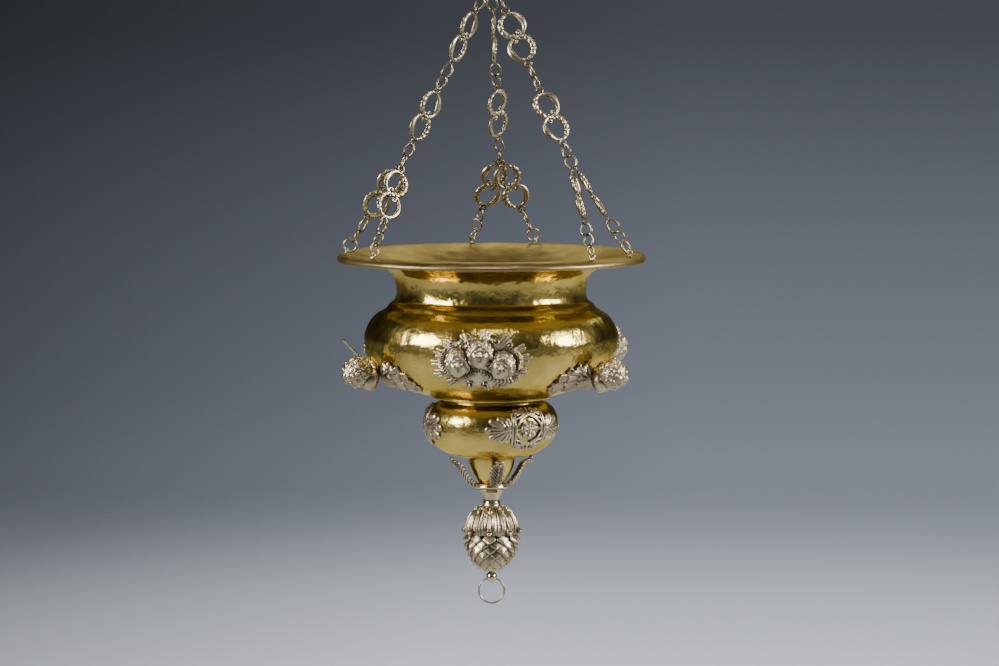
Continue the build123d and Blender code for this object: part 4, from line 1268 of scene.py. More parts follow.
def scaleTree():
    # rows of scales on an egg: radius from the height, every other row turned by half a step
    tree = bpy.data.node_groups.new("coneScales", "GeometryNodeTree")
    sockets = {}
    for label, kind in (("Scale", "NodeSocketGeometry"), ("Rows", "NodeSocketInt"),
                        ("Scales In A Row", "NodeSocketInt"),
                        ("First Row Height", "NodeSocketFloat"), ("Last Row Height", "NodeSocketFloat"),
                        ("Egg Middle", "NodeSocketFloat"), ("Egg Half Height", "NodeSocketFloat"),
                        ("Egg Radius", "NodeSocketFloat"), ("Droop", "NodeSocketFloat"),
                        ("Seed", "NodeSocketInt"), ("Metal", "NodeSocketMaterial")):
        sockets[label] = tree.interface.new_socket(label, in_out="INPUT", socket_type=kind)
    tree.interface.new_socket("Geometry", in_out="OUTPUT", socket_type="NodeSocketGeometry")
    nodes, links = tree.nodes, tree.links
    layoutFrame = nodes.new("NodeFrame")
    layoutFrame.label = "row and place in the row"
    eggFrame = nodes.new("NodeFrame")
    eggFrame.label = "place on the egg"

    given = nodes.new("NodeGroupInput")
    given.label = "cone values"
    given.location = (-1700, 0)
    index = nodes.new("GeometryNodeInputIndex")
    index.label = "scale number"
    index.location = (-1700, 320)
    index.parent = layoutFrame
    total = nodes.new("ShaderNodeMath")
    total.label = "how many scales"
    total.operation = "MULTIPLY"
    total.location = (-1450, 460)
    total.parent = layoutFrame
    links.new(given.outputs["Rows"], total.inputs[0])
    links.new(given.outputs["Scales In A Row"], total.inputs[1])
    share = nodes.new("ShaderNodeMath")
    share.label = "rows so far"
    share.operation = "DIVIDE"
    share.location = (-1450, 280)
    share.parent = layoutFrame
    links.new(index.outputs["Index"], share.inputs[0])
    links.new(given.outputs["Scales In A Row"], share.inputs[1])
    row = nodes.new("ShaderNodeMath")
    row.label = "row"
    row.operation = "FLOOR"
    row.location = (-1250, 340)
    row.parent = layoutFrame
    links.new(share.outputs["Value"], row.inputs[0])
    halfStep = nodes.new("ShaderNodeMath")
    halfStep.label = "half a step for every other row"
    halfStep.operation = "PINGPONG"
    halfStep.location = (-1050, 420)
    halfStep.parent = layoutFrame
    halfStep.inputs[1].default_value = 1.0
    links.new(row.outputs["Value"], halfStep.inputs[0])
    half = nodes.new("ShaderNodeMath")
    half.label = "halved"
    half.operation = "MULTIPLY"
    half.location = (-870, 420)
    half.parent = layoutFrame
    half.inputs[1].default_value = 0.5
    links.new(halfStep.outputs["Value"], half.inputs[0])
    place = nodes.new("ShaderNodeMath")
    place.label = "number in the row"
    place.operation = "ADD"
    place.location = (-690, 360)
    place.parent = layoutFrame
    links.new(index.outputs["Index"], place.inputs[0])
    links.new(half.outputs["Value"], place.inputs[1])
    turn = nodes.new("ShaderNodeMath")
    turn.label = "whole turns"
    turn.operation = "DIVIDE"
    turn.location = (-510, 320)
    turn.parent = layoutFrame
    links.new(place.outputs["Value"], turn.inputs[0])
    links.new(given.outputs["Scales In A Row"], turn.inputs[1])
    angle = nodes.new("ShaderNodeMath")
    angle.label = "angle"
    angle.operation = "MULTIPLY"
    angle.location = (-330, 320)
    angle.parent = layoutFrame
    angle.inputs[1].default_value = 2 * pi
    links.new(turn.outputs["Value"], angle.inputs[0])

    lastRow = nodes.new("ShaderNodeMath")
    lastRow.label = "number of the last row"
    lastRow.operation = "SUBTRACT"
    lastRow.location = (-1250, 60)
    lastRow.parent = eggFrame
    lastRow.inputs[1].default_value = 1.0
    links.new(given.outputs["Rows"], lastRow.inputs[0])
    height = nodes.new("ShaderNodeMapRange")
    height.label = "height of the row"
    height.location = (-1050, 60)
    height.parent = eggFrame
    links.new(row.outputs["Value"], height.inputs["Value"])
    links.new(lastRow.outputs["Value"], height.inputs["From Max"])
    links.new(given.outputs["First Row Height"], height.inputs["To Min"])
    links.new(given.outputs["Last Row Height"], height.inputs["To Max"])
    off = nodes.new("ShaderNodeMath")
    off.label = "below the middle of the egg"
    off.operation = "SUBTRACT"
    off.location = (-850, 60)
    off.parent = eggFrame
    links.new(height.outputs["Result"], off.inputs[0])
    links.new(given.outputs["Egg Middle"], off.inputs[1])
    level = nodes.new("ShaderNodeMath")
    level.label = "as a share of the half height"
    level.operation = "DIVIDE"
    level.location = (-670, 60)
    level.parent = eggFrame
    links.new(off.outputs["Value"], level.inputs[0])
    links.new(given.outputs["Egg Half Height"], level.inputs[1])
    lean = nodes.new("ShaderNodeMath")
    lean.label = "slope of the egg"
    lean.operation = "ARCSINE"
    lean.location = (-490, 60)
    lean.parent = eggFrame
    links.new(level.outputs["Value"], lean.inputs[0])
    girth = nodes.new("ShaderNodeMath")
    girth.label = "girth of the egg"
    girth.operation = "COSINE"
    girth.location = (-310, 60)
    girth.parent = eggFrame
    links.new(lean.outputs["Value"], girth.inputs[0])
    radius = nodes.new("ShaderNodeMath")
    radius.label = "radius"
    radius.operation = "MULTIPLY"
    radius.location = (-130, 60)
    radius.parent = eggFrame
    links.new(girth.outputs["Value"], radius.inputs[0])
    links.new(given.outputs["Egg Radius"], radius.inputs[1])
    sine = nodes.new("ShaderNodeMath")
    sine.label = "aside"
    sine.operation = "SINE"
    sine.location = (-130, 320)
    sine.parent = eggFrame
    links.new(angle.outputs["Value"], sine.inputs[0])
    cosine = nodes.new("ShaderNodeMath")
    cosine.label = "forward"
    cosine.operation = "COSINE"
    cosine.location = (-130, 480)
    cosine.parent = eggFrame
    links.new(angle.outputs["Value"], cosine.inputs[0])
    placeX = nodes.new("ShaderNodeMath")
    placeX.label = "x"
    placeX.operation = "MULTIPLY"
    placeX.location = (60, 320)
    placeX.parent = eggFrame
    links.new(sine.outputs["Value"], placeX.inputs[0])
    links.new(radius.outputs["Value"], placeX.inputs[1])
    placeY = nodes.new("ShaderNodeMath")
    placeY.label = "y before the turn of sign"
    placeY.operation = "MULTIPLY"
    placeY.location = (60, 480)
    placeY.parent = eggFrame
    links.new(cosine.outputs["Value"], placeY.inputs[0])
    links.new(radius.outputs["Value"], placeY.inputs[1])
    minusY = nodes.new("ShaderNodeMath")
    minusY.label = "y"
    minusY.operation = "MULTIPLY"
    minusY.location = (240, 480)
    minusY.parent = eggFrame
    minusY.inputs[1].default_value = -1.0
    links.new(placeY.outputs["Value"], minusY.inputs[0])
    spot = nodes.new("ShaderNodeCombineXYZ")
    spot.label = "place of the scale"
    spot.location = (420, 300)
    spot.parent = eggFrame
    links.new(placeX.outputs["Value"], spot.inputs["X"])
    links.new(minusY.outputs["Value"], spot.inputs["Y"])
    links.new(height.outputs["Result"], spot.inputs["Z"])

    points = nodes.new("GeometryNodePoints")
    points.label = "one point for each scale"
    points.location = (620, 300)
    links.new(total.outputs["Value"], points.inputs["Count"])
    links.new(spot.outputs["Vector"], points.inputs["Position"])
    uneven = nodes.new("FunctionNodeRandomValue")
    uneven.label = "uneven droop"
    uneven.data_type = "FLOAT"
    uneven.location = (240, -160)
    uneven.inputs[2].default_value = -0.06
    uneven.inputs[3].default_value = 0.06
    links.new(given.outputs["Seed"], uneven.inputs["Seed"])
    droop = nodes.new("ShaderNodeMath")
    droop.label = "droop with the slope"
    droop.operation = "ADD"
    droop.location = (240, 0)
    links.new(given.outputs["Droop"], droop.inputs[0])
    links.new(lean.outputs["Value"], droop.inputs[1])
    tilt = nodes.new("ShaderNodeMath")
    tilt.label = "tilt"
    tilt.operation = "ADD"
    tilt.location = (420, 0)
    links.new(droop.outputs["Value"], tilt.inputs[0])
    links.new(uneven.outputs[1], tilt.inputs[1])
    lay = nodes.new("ShaderNodeMath")
    lay.label = "tilt towards the tip"
    lay.operation = "MULTIPLY"
    lay.location = (600, 0)
    lay.inputs[1].default_value = -1.0
    links.new(tilt.outputs["Value"], lay.inputs[0])
    rotation = nodes.new("ShaderNodeCombineXYZ")
    rotation.label = "turn of the scale"
    rotation.location = (780, 60)
    links.new(lay.outputs["Value"], rotation.inputs["X"])
    links.new(angle.outputs["Value"], rotation.inputs["Z"])
    shrink = nodes.new("ShaderNodeMapRange")
    shrink.label = "smaller towards the foot"
    shrink.location = (600, -200)
    shrink.inputs["To Min"].default_value = 0.36
    shrink.inputs["To Max"].default_value = 1.0
    links.new(girth.outputs["Value"], shrink.inputs["Value"])
    shrink.inputs["From Min"].default_value = 0.3
    copies = nodes.new("GeometryNodeInstanceOnPoints")
    copies.label = "scales in rows"
    copies.location = (1000, 200)
    links.new(points.outputs["Points"], copies.inputs["Points"])
    links.new(given.outputs["Scale"], copies.inputs["Instance"])
    links.new(rotation.outputs["Vector"], copies.inputs["Rotation"])
    links.new(shrink.outputs["Result"], copies.inputs["Scale"])
    real = nodes.new("GeometryNodeRealizeInstances")
    real.label = "real mesh"
    real.location = (1200, 200)
    links.new(copies.outputs["Instances"], real.inputs["Geometry"])
    metal = nodes.new("GeometryNodeSetMaterial")
    metal.label = "cast metal"
    metal.location = (1400, 200)
    links.new(real.outputs["Geometry"], metal.inputs["Geometry"])
    links.new(given.outputs["Metal"], metal.inputs["Material"])
    result = nodes.new("NodeGroupOutput")
    result.label = "scales"
    result.location = (1600, 200)
    links.new(metal.outputs["Geometry"], result.inputs["Geometry"])
    return tree, sockets


def grown(obj, tree, sockets, values):
    # runs the tree once on the object and returns its mesh as vertices and faces in mm
    modifier = obj.modifiers.new("layout", "NODES")
    modifier.node_group = tree
    for label, value in values.items():
        modifier[sockets[label].identifier] = value
    obj.update_tag()
    bpy.context.view_layer.update()
    evaluated = obj.evaluated_get(bpy.context.evaluated_depsgraph_get())
    mesh = bpy.data.meshes.new_from_object(evaluated)
    verts = np.array([v.co for v in mesh.vertices]) / mm
    faces = [tuple(p.vertices) for p in mesh.polygons]
    bpy.data.meshes.remove(mesh)
    bpy.data.objects.remove(obj)
    return verts, faces


tree, sockets = scaleTree()
scalesMesh = grown(coneScale(coneShape), tree, sockets, {
    "Rows": coneShape["rows"], "Scales In A Row": coneShape["inRow"],
    "First Row Height": coneShape["firstRow"] * mm + rimCrest,
    "Last Row Height": coneShape["lastRow"] * mm + rimCrest,
    "Egg Middle": coneShape["middle"] * mm + rimCrest, "Egg Half Height": coneShape["tall"] * mm,
    "Egg Radius": coneShape["wide"] * mm, "Droop": radians(coneShape["droop"]),
    "Seed": coneShape["seed"], "Metal": castSilver})
print("cone scales", len(scalesMesh[1]))


def spunRow(r, z, angles):
    # one ring of points at a radius and a height, in mm
    return np.stack([r * np.sin(angles), -r * np.cos(angles), np.full(len(angles), z + rimCrestMm)], -1)


def acanthusCup(shape):
    # the leafy cup over the scales, as a closed spun shell with its leaves in relief
    curve = smoothLine(shape["cup"], 14)
    count, segments = len(curve), 384
    share = np.linspace(0, 1, count)[:, None]
    angle = np.linspace(0, 360, segments, endpoint=False)[None, :]
    sector = ((angle * shape["leaves"] / 360) % 1) - 0.5
    half = 0.47 * np.clip(np.sin(pi * np.clip(share * 0.72 + 0.2, 0, 1)), 0.2, 1)
    leaf = np.clip(1 - (sector / half) ** 2, 0, 1) ** 0.5
    ribs = np.cos(2 * pi * 7 * sector * (1.25 - 0.45 * share))
    midrib = np.exp(-(sector / 0.035) ** 2)
    relief = 1.0 * leaf + 0.42 * ribs * leaf + 0.7 * midrib
    between = ((angle * shape["leaves"] / 360 + 0.5) % 1) - 0.5
    across, down = between * 17.5, (share - 0.34) * 28
    value, inside = spiralField(across, down, (0, 0), 4.3, 1, 1.7)
    relief = np.where(inside > 0.02, np.maximum(relief, 0.6 + 1.5 * value), relief)
    stem = np.exp(-(across / 0.9) ** 2) * np.clip((down - 3) / 2, 0, 1)
    relief = np.maximum(relief, 1.5 * stem)
    relief *= np.clip(share * 5 - 0.9, 0, 1) ** 0.5
    lip = np.clip((share - 0.9) * 10, 0, 1)
    relief += 0.9 * lip * np.abs(np.cos(radians(1) * angle * shape["leaves"] * 2.5)) ** 0.5
    tangent = np.gradient(curve, axis=0)
    tangent /= np.linalg.norm(tangent, axis=1)[:, None]
    r = curve[:, 0][:, None] - tangent[:, 1][:, None] * relief
    z = curve[:, 1][:, None] + tangent[:, 0][:, None] * relief
    a = np.radians(angle)
    skin = np.stack([r * np.sin(a), -r * np.cos(a), z + rimCrestMm], -1)
    inner = [(rodHole, curve[0][1]), (rodHole, curve[-1][1])]
    core = [spunRow(q[0], q[1], a[0]) for q in inner]
    rows = np.concatenate([core[:1], skin, core[1:]])
    return rows.reshape(-1, 3), gridFaces(len(rows), segments, True, True)


def coneBody(shape):
    # the plain egg under the scales, closed at both ends
    height = np.linspace(shape["firstRow"] + 6, shape["foot"], 40)
    r = (shape["wide"] - 0.8) * np.sqrt(np.clip(1 - ((height - shape["middle"]) / shape["tall"]) ** 2, 0, 1))
    line = [(rodHole, height[0])] + list(zip(r, height))
    line += [(2.2, shape["foot"]), (2.2, shape["foot"] + 4), (rodHole, shape["foot"] + 4)]
    angle = np.radians(np.linspace(0, 360, 96, endpoint=False))
    rows = [spunRow(p[0], p[1], angle) for p in line]
    return np.concatenate(rows), gridFaces(len(rows), 96, True, True)


coneParts = [scalesMesh, acanthusCup(coneShape), coneBody(coneShape)]
for k in range(coneShape["knobs"]):
    azimuth = 90 + 360 * k / coneShape["knobs"]
    out, up = radial(azimuth), np.array([0, 0, 1.0])
    knob = out * coneShape["knobReach"] + up * (coneShape["knobHeight"] + rimCrestMm)
    path = [knob - out * 4.2 + up * 5.0, knob - out * 2.6 + up * 2.4, knob - out * 1.0 + up * 0.6,
            knob + out * 0.6 - up * 0.2, knob + out * 1.6 + up * 0.4]
    girths = np.interp(np.linspace(0, 1, 21), (0, 0.5, 0.8, 1), (1.5, 2.2, 2.3, 1.2))
    coneParts.append(tube(smoothLine(path, 5), girths, 20, normal=radial(azimuth + 90),
                          relief=lambda s, a: 0.22 * np.cos(6 * a)))
verts, faces = join(coneParts)
cone = outward(meshObject("pineCone", verts * mm, faces, castSilver))
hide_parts("pine_cone")
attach(cone, lampBody)
print("pine cone done")

# end ball with the cross hole that the pull ring swings in
ballShape = {
    "height": -286.0, "radius": 4.8, "stem": [(2.0, -276.0), (1.0, -275.0), (0.05, -275.0)],
    "holeTurn": 95, "holeHeight": -286.85, "countersink": 2.8, "mouth": 1.95, "throat": 1.15,
}
ballSides = 64
ballLine = [(ballShape["radius"] * sin(t), ballShape["height"] - ballShape["radius"] * cos(t))
            for t in np.linspace(0.01, pi - 0.43, 40)]
ballVerts = []
for r, z in ballLine + ballShape["stem"]:
    for t in np.linspace(0, 2 * pi, ballSides, endpoint=False):
        ballVerts.append((r * cos(t), r * sin(t), z + rimCrestMm))
ballRows = len(ballLine) + len(ballShape["stem"])
ballFaces = gridFaces(ballRows, ballSides, False, True)
ballFaces += [tuple(range(ballSides)), tuple(range((ballRows - 1) * ballSides, ballRows * ballSides))]
endBall = outward(meshObject("endBall", np.array(ballVerts) * mm, ballFaces, turnedSilver))
holeAxis = radial(ballShape["holeTurn"])
holeMiddle = np.array([0, 0, ballShape["holeHeight"] + rimCrestMm])
holePath = [holeMiddle + holeAxis * s for s in (-7, -ballShape["radius"], 0, ballShape["radius"], 7)]
holeRadii = [ballShape[w] for w in ("countersink", "mouth", "throat", "mouth", "countersink")]
holeVerts, holeFaces = tube(holePath, holeRadii, 32)
cutter = outward(meshObject("ballHole", holeVerts * mm, holeFaces, turnedSilver))
cut = endBall.modifiers.new("cross hole", "BOOLEAN")
cut.operation = "DIFFERENCE"
cut.solver = "EXACT"
cut.object = cutter
bpy.context.view_layer.update()
drilled = bpy.data.meshes.new_from_object(endBall.evaluated_get(bpy.context.evaluated_depsgraph_get()))
endBall.modifiers.clear()
endBall.data = drilled
drilled.name = "endBall"
bpy.data.objects.remove(cutter)
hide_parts("end_ball")
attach(endBall, lampBody)


# rivets that hold the castings: one rivet copied to its places by a node tree
rivetShape = {
    "groups": [
        # outline, azimuths of the castings, degrees aside, height, rise, head radius
        (bellyCurve, trioShape["azimuths"], 17, trioShape["height"], 3.9, 1.25),
        (bellyCurve, wingedShape["azimuths"], 17, wingedShape["wingHeight"], 3.9, 1.25),
        (bulbCurve, strapworkShape["azimuths"], 36, strapworkShape["height"], 3.15, 1.1),
    ],
    "head": 1.25, "shank": 0.8,
}


def rivetTree():
    tree = bpy.data.node_groups.new("rivetPlaces", "GeometryNodeTree")
    sockets = {}
    for label, kind in (("Places", "NodeSocketGeometry"), ("Rivet", "NodeSocketObject"),
                        ("Metal", "NodeSocketMaterial")):
        sockets[label] = tree.interface.new_socket(label, in_out="INPUT", socket_type=kind)
    tree.interface.new_socket("Geometry", in_out="OUTPUT", socket_type="NodeSocketGeometry")
    nodes, links = tree.nodes, tree.links
    given = nodes.new("NodeGroupInput")
    given.label = "rivet values"
    given.location = (-700, 0)
    rivet = nodes.new("GeometryNodeObjectInfo")
    rivet.label = "one rivet"
    rivet.location = (-450, -160)
    links.new(given.outputs["Rivet"], rivet.inputs["Object"])
    turn = nodes.new("GeometryNodeInputNamedAttribute")
    turn.label = "way it points"
    turn.data_type = "FLOAT_VECTOR"
    turn.location = (-450, 160)
    turn.inputs["Name"].default_value = "rivetTurn"
    size = nodes.new("GeometryNodeInputNamedAttribute")
    size.label = "size of its head"
    size.data_type = "FLOAT"
    size.location = (-450, 320)
    size.inputs["Name"].default_value = "rivetSize"
    copies = nodes.new("GeometryNodeInstanceOnPoints")
    copies.label = "rivets"
    copies.location = (-200, 0)
    links.new(given.outputs["Places"], copies.inputs["Points"])
    links.new(rivet.outputs["Geometry"], copies.inputs["Instance"])
    links.new(turn.outputs["Attribute"], copies.inputs["Rotation"])
    links.new(size.outputs["Attribute"], copies.inputs["Scale"])
    real = nodes.new("GeometryNodeRealizeInstances")
    real.label = "real mesh"
    real.location = (0, 0)
    links.new(copies.outputs["Instances"], real.inputs["Geometry"])
    metal = nodes.new("GeometryNodeSetMaterial")
    metal.label = "cast metal"
    metal.location = (200, 0)
    links.new(real.outputs["Geometry"], metal.inputs["Geometry"])
    links.new(given.outputs["Metal"], metal.inputs["Material"])
    result = nodes.new("NodeGroupOutput")
    result.label = "rivets in place"
    result.location = (400, 0)
    links.new(metal.outputs["Geometry"], result.inputs["Geometry"])
    return tree, sockets


spots, turns, sizes = [], [], []
for curve, azimuths, aside, height, rise, headRadius in rivetShape["groups"]:
    for azimuth in azimuths:
        for side in (-1, 1):
            origin, _, _, out = frameAt(wrapOn(curve, azimuth + side * aside, height, 0), 0.0, 0.0, rise)
            spots.append(origin * mm)
            turns.append(Vector(out).to_track_quat("Z", "Y").to_euler())
            sizes.append(headRadius / rivetShape["head"])
shank = rivetShape["shank"]
stem = tube([(0, 0, z) for z in (-6.6, -6.4, -3.0, 0.0)], (shank - 0.2, shank, shank, shank), 14,
            normal=(1, 0, 0))
rivetVerts, rivetFaces = join([stem, ball((0, 0, 0), rivetShape["head"], 18)])
oneRivet = outward(meshObject("oneRivet", rivetVerts * mm, rivetFaces, castSilver))
placesMesh = bpy.data.meshes.new("rivetSpots")
placesMesh.from_pydata([tuple(s) for s in spots], [], [])
turnOf = placesMesh.attributes.new("rivetTurn", "FLOAT_VECTOR", "POINT")
turnOf.data.foreach_set("vector", np.array(turns).ravel())
sizeOf = placesMesh.attributes.new("rivetSize", "FLOAT", "POINT")
sizeOf.data.foreach_set("value", sizes)
places = bpy.data.objects.new("rivetSpots", placesMesh)
scene.collection.objects.link(places)
tree, sockets = rivetTree()
verts, faces = grown(places, tree, sockets, {"Rivet": oneRivet, "Metal": castSilver})
bpy.data.objects.remove(oneRivet)
rivets = meshObject("ornamentPins", verts * mm, faces, castSilver)
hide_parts("ornament_pins")
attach(rivets, lampBody)
print("rivets", len(spots))

# tie rod with its nut and washer, standing on the floor of the bowl
rodShape = {
    "radius": 2.95, "foot": -260.0, "standsUp": 9.0, "threadTurns": 13, "thread": 0.28, "sides": 40,
    "bore": 3.05, "washer": 9.0, "nut": 5.77,
}
rodTop = floorInside + rodShape["standsUp"]
threadTurns, rodSides = rodShape["threadTurns"], rodShape["sides"]
count = threadTurns * 10
rodZ = np.concatenate([[rodShape["foot"]], np.linspace(rodTop - threadTurns, rodTop - 0.5, count), [rodTop]])
rodR = np.concatenate([[rodShape["radius"]], rodShape["radius"] - rodShape["thread"] * (0.5 + 0.5 * np.cos(
    2 * pi * np.arange(count) / 10)), [rodShape["radius"] - 0.5]])
angle = np.linspace(0, 2 * pi, rodSides, endpoint=False)
rodRows = [np.stack([r * np.cos(angle), r * np.sin(angle), np.full(rodSides, z + rimCrestMm)], -1)
           for r, z in zip(rodR, rodZ)]
rodVerts = np.concatenate(rodRows)
rodFaces = gridFaces(len(rodZ), rodSides, False, True)
rodFaces += [tuple(range(rodSides)), tuple(range((len(rodZ) - 1) * rodSides, len(rodZ) * rodSides))]


def nutPart(outline, sides):
    # a ring section run round a round or six-sided outline
    steps = 96
    a = np.linspace(0, 2 * pi, steps, endpoint=False)
    reach = np.ones(steps)
    if sides:
        reach = np.cos(pi / sides) / np.cos(a % (2 * pi / sides) - pi / sides)
    rows = []
    for r, z in outline:
        size = r * (reach if r > rodShape["bore"] + 0.5 else 1)
        rows.append(np.stack([size * np.cos(a), size * np.sin(a), np.full(steps, z + rimCrestMm)], -1))
    return np.concatenate(rows), gridFaces(len(rows), steps, True, True)


bore, washerRadius, nutRadius = rodShape["bore"], rodShape["washer"], rodShape["nut"]
washerLine = [(bore, 0.02), (washerRadius - 0.2, 0.02), (washerRadius, 0.3), (washerRadius, 0.9),
              (washerRadius - 0.3, 1.18), (bore, 1.18)]
nutLine = [(bore, 1.2), (5.2, 1.2), (nutRadius, 1.6), (nutRadius, 5.8), (5.1, 6.2), (3.3, 6.2)]
washer = nutPart([(r, floorInside + h) for r, h in washerLine], 0)
nut = nutPart([(r, floorInside + h) for r, h in nutLine], 6)
verts, faces = join([(rodVerts, rodFaces), washer, nut])
rod = outward(meshObject("tieRodAndNut", verts * mm, faces, panBrass))
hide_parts("tie_rod_and_nut")
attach(rod, lampBody)

# loose pan on the floor of the bowl
panShape = {
    "wall": 1.0, "line": [(44, 10.5), (58, 13.5), (67, 21.0), (71.5, 31.0), (74.0, 33.0)],
    "footRadius": 44, "footWall": 1, "middleRing": 20, "segments": 180, "dent": 0.05, "dentSize": 12.0,
}
panCurve = smoothLine([(r, floorInside + h) for r, h in panShape["line"]], 10)
panInner = panCurve + np.array([-0.35, panShape["wall"]])
panFoot = floorInside + 0.15
footInside, panMiddle = panShape["footRadius"] - panShape["footWall"], panShape["middleRing"]
panLine = [(0.02, panCurve[0][1]), (panMiddle, panCurve[0][1]), (footInside, panCurve[0][1])]
panLine += [(footInside, panFoot), (panShape["footRadius"], panFoot)]
panLine += list(panCurve) + list(panInner[::-1]) + [(panMiddle, panInner[0][1]), (0.02, panInner[0][1])]
pan = lathe("firePan", panLine, panBrass, panShape["segments"], panShape["dent"], panShape["dentSize"])
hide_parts("fire_pan")
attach(pan, "fire_pan_body")
print("rod and pan done")


# floor, light and camera
studio = {
    "floorHeight": -0.95, "floorRadius": 4.5, "aim": 0.0709, "distance": 3.5, "turn": 5.0,
    "rise": 0.24, "lens": 144.8, "aimAside": 0.007,
}


def plainFloor(shape):
    material = bpy.data.materials.new("paleFloor")
    material.use_nodes = True
    tree = material.node_tree
    shader = tree.nodes["Principled BSDF"]
    shader.label = "matt floor"
    shader.inputs["Roughness"].default_value = 0.7
    place = tree.nodes.new("ShaderNodeTexCoord")
    place.label = "place on the floor"
    place.location = (-900, 0)
    reach = tree.nodes.new("ShaderNodeVectorMath")
    reach.label = "distance from the middle"
    reach.operation = "LENGTH"
    reach.location = (-700, 0)
    tree.links.new(place.outputs["Object"], reach.inputs[0])
    # painted pool of light: the floor's tone goes from pale near the middle to grey towards the far edge
    fade = tree.nodes.new("ShaderNodeMapRange")
    fade.label = "towards the far edge"
    fade.location = (-500, 0)
    fade.inputs["From Min"].default_value = 1.6
    fade.inputs["From Max"].default_value = 3.9
    tree.links.new(reach.outputs["Value"], fade.inputs["Value"])
    tone = tree.nodes.new("ShaderNodeValToRGB")
    tone.label = "pale to grey"
    tone.location = (-300, 0)
    tone.color_ramp.elements[0].color = (0.84, 0.86, 0.92, 1)
    tone.color_ramp.elements[1].color = (0.42, 0.44, 0.50, 1)
    tree.links.new(fade.outputs["Result"], tone.inputs["Fac"])
    across = tree.nodes.new("ShaderNodeSeparateXYZ")
    across.label = "side and depth"
    across.location = (-700, -260)
    tree.links.new(place.outputs["Object"], across.inputs["Vector"])
    # painted shade on the floor: its tone is darker in front and on the left
    frontDark = tree.nodes.new("ShaderNodeMapRange")
    frontDark.label = "darker in front"
    frontDark.location = (-500, -260)
    frontDark.inputs["From Min"].default_value = -0.5
    frontDark.inputs["From Max"].default_value = 1.7
    frontDark.inputs["To Min"].default_value = 0.42
    tree.links.new(across.outputs["Y"], frontDark.inputs["Value"])
    leftDark = tree.nodes.new("ShaderNodeMapRange")
    leftDark.label = "darker on the left"
    leftDark.location = (-500, -520)
    leftDark.inputs["From Min"].default_value = -1.0
    leftDark.inputs["From Max"].default_value = -0.25
    leftDark.inputs["To Min"].default_value = 0.56
    tree.links.new(across.outputs["X"], leftDark.inputs["Value"])
    shade = tree.nodes.new("ShaderNodeMath")
    shade.label = "both"
    shade.operation = "MULTIPLY"
    shade.location = (-300, -380)
    tree.links.new(frontDark.outputs["Result"], shade.inputs[0])
    tree.links.new(leftDark.outputs["Result"], shade.inputs[1])
    shaded = tree.nodes.new("ShaderNodeVectorMath")
    shaded.label = "shaded tone"
    shaded.operation = "SCALE"
    shaded.location = (-60, -200)
    tree.links.new(tone.outputs["Color"], shaded.inputs[0])
    tree.links.new(shade.outputs["Value"], shaded.inputs["Scale"])
    tree.links.new(shaded.outputs["Vector"], shader.inputs["Base Color"])
    around = np.linspace(0, 2 * pi, 96, endpoint=False)
    reachOut = shape["floorRadius"]
    verts = [(reachOut * cos(t), reachOut * sin(t), shape["floorHeight"]) for t in around]
    clear = tree.nodes.new("ShaderNodeBsdfTransparent")
    clear.label = "nothing beyond the edge"
    clear.location = (200, -200)
    softEdge = tree.nodes.new("ShaderNodeMapRange")
    softEdge.label = "soft far edge"
    softEdge.location = (0, 200)
    softEdge.interpolation_type = "SMOOTHSTEP"
    softEdge.inputs["From Min"].default_value = 2.5
    softEdge.inputs["From Max"].default_value = 4.3
    tree.links.new(reach.outputs["Value"], softEdge.inputs["Value"])
    blend = tree.nodes.new("ShaderNodeMixShader")
    blend.label = "floor fading out"
    blend.location = (500, 100)
    tree.links.new(softEdge.outputs["Result"], blend.inputs["Fac"])
    tree.links.new(shader.outputs["BSDF"], blend.inputs[1])
    tree.links.new(clear.outputs["BSDF"], blend.inputs[2])
    tree.links.new(blend.outputs["Shader"], tree.nodes["Material Output"].inputs["Surface"])
    return meshObject("studioFloor", verts, [tuple(range(96))], material, smooth=False)


plainFloor(studio)

world = bpy.data.worlds.new("studioWorld")
scene.world = world
world.use_nodes = True
worldTree = world.node_tree
backdrop = worldTree.nodes["Background"]
backdrop.label = "soft room"
backdrop.inputs["Strength"].default_value = 1.0
lookWay = worldTree.nodes.new("ShaderNodeTexCoord")
lookWay.label = "direction"
lookWay.location = (-900, 0)
lookHeight = worldTree.nodes.new("ShaderNodeSeparateXYZ")
lookHeight.label = "height of the direction"
lookHeight.location = (-700, 0)
worldTree.links.new(lookWay.outputs["Generated"], lookHeight.inputs["Vector"])
heightRange = worldTree.nodes.new("ShaderNodeMapRange")
heightRange.label = "from floor to ceiling"
heightRange.location = (-500, 0)
heightRange.inputs["From Min"].default_value = -0.16
heightRange.inputs["From Max"].default_value = 1.0
worldTree.links.new(lookHeight.outputs["Z"], heightRange.inputs["Value"])
roomTone = worldTree.nodes.new("ShaderNodeValToRGB")
roomTone.label = "dusk blue to grey"
roomTone.location = (-300, 0)
roomTone.color_ramp.elements[0].position = 0.0
roomTone.color_ramp.elements[0].color = (0.29, 0.32, 0.375, 1)
roomTone.color_ramp.elements[1].position = 1.0
roomTone.color_ramp.elements[1].color = (0.12, 0.12, 0.12, 1)
for position, colour in ((0.05, (0.177, 0.195, 0.234, 1)), (0.08, (0.132, 0.145, 0.174, 1)),
                         (0.1265, (0.062, 0.068, 0.081, 1)), (0.19, (0.034, 0.036, 0.042, 1)),
                         (0.35, (0.048, 0.048, 0.05, 1))):
    step = roomTone.color_ramp.elements.new(position)
    step.color = colour
worldTree.links.new(heightRange.outputs["Result"], roomTone.inputs["Fac"])
sideLight = worldTree.nodes.new("ShaderNodeMapRange")
sideLight.label = "brighter to the right"
sideLight.location = (-500, -260)
sideLight.inputs["From Min"].default_value = -0.22
sideLight.inputs["From Max"].default_value = -0.04
sideLight.inputs["To Min"].default_value = 0.40
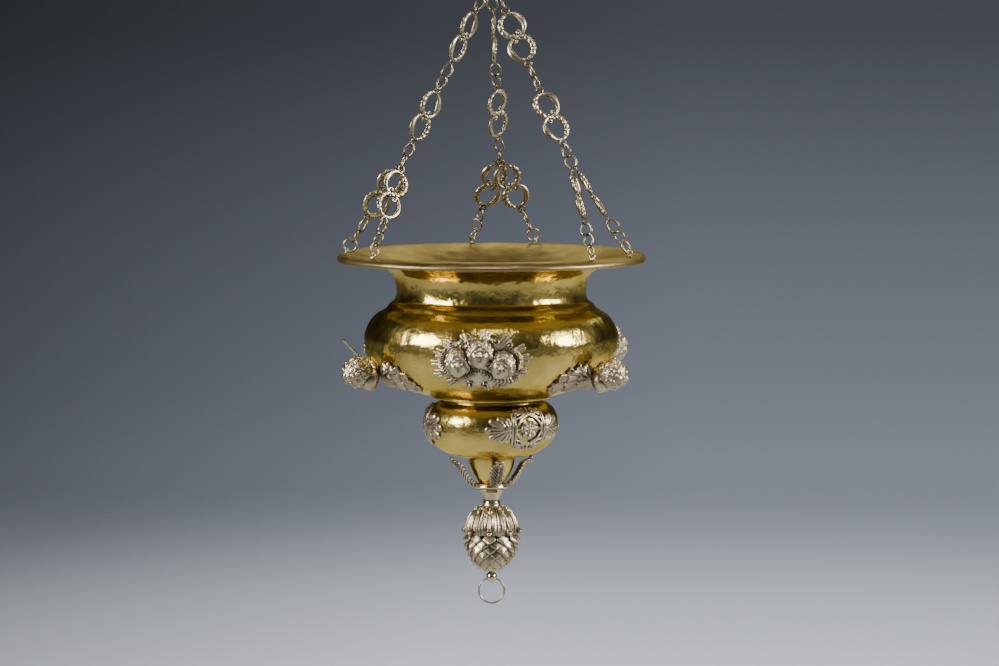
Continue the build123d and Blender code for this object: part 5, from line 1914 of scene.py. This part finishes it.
sideLight.inputs["To Max"].default_value = 1.05
worldTree.links.new(lookHeight.outputs["X"], sideLight.inputs["Value"])
worldTree.links.new(sideLight.outputs["Result"], backdrop.inputs["Strength"])
worldTree.links.new(roomTone.outputs["Color"], backdrop.inputs["Color"])


def softbox(name, azimuth, elevation, distance, size, power, tint):
    light = bpy.data.lights.new(name, "AREA")
    light.shape = "RECTANGLE"
    light.size, light.size_y = size
    light.energy = power
    light.color = tint
    obj = bpy.data.objects.new(name, light)
    scene.collection.objects.link(obj)
    middle = Vector((0, 0, rimCrest - 0.09))
    e = radians(elevation)
    back = Vector(tuple(radial(azimuth) * cos(e) + np.array([0, 0, sin(e)])))
    obj.location = middle + back * distance
    obj.rotation_mode = "QUATERNION"
    obj.rotation_quaternion = back.to_track_quat("Z", "Y")
    obj.visible_camera = False
    return obj


softbox("frontLeftSoftbox", -60, 20, 2.2, (1.0, 1.0), 80, (1.0, 0.98, 0.95))
softbox("frontRightSoftbox", 78, 21, 2.2, (0.8, 0.9), 70, (1.0, 0.98, 0.95))
softbox("topSoftbox", 5, 62, 2.4, (0.9, 0.5), 14, (1.0, 0.99, 0.97))
softbox("backSoftbox", 185, 40, 2.6, (1.6, 0.9), 4, (0.92, 0.96, 1.0))
floorSoftbox = softbox("floorSoftbox", 180, 40, 2.6, (3.0, 1.6), 36, (0.88, 0.94, 1.0))
floorSoftbox.location = (0.35, 2.2, 1.25)
floorSoftbox.rotation_quaternion = (1, 0, 0, 0)

camera = bpy.data.cameras.new("camera")
cameraObject = bpy.data.objects.new("camera", camera)
scene.collection.objects.link(cameraObject)
scene.camera = cameraObject
camera.sensor_width = 36
camera.lens = studio["lens"]
sideways = radial(studio["turn"] + 90)
stand = radial(studio["turn"]) * studio["distance"] + sideways * studio["aimAside"]
cameraObject.location = Vector((*stand[:2], rimCrest + studio["rise"]))
target = Vector((*(sideways * studio["aimAside"])[:2], rimCrest - studio["aim"]))
cameraObject.rotation_mode = "QUATERNION"
cameraObject.rotation_quaternion = (target - cameraObject.location).to_track_quat("-Z", "Y")
print("floor, light and camera done")
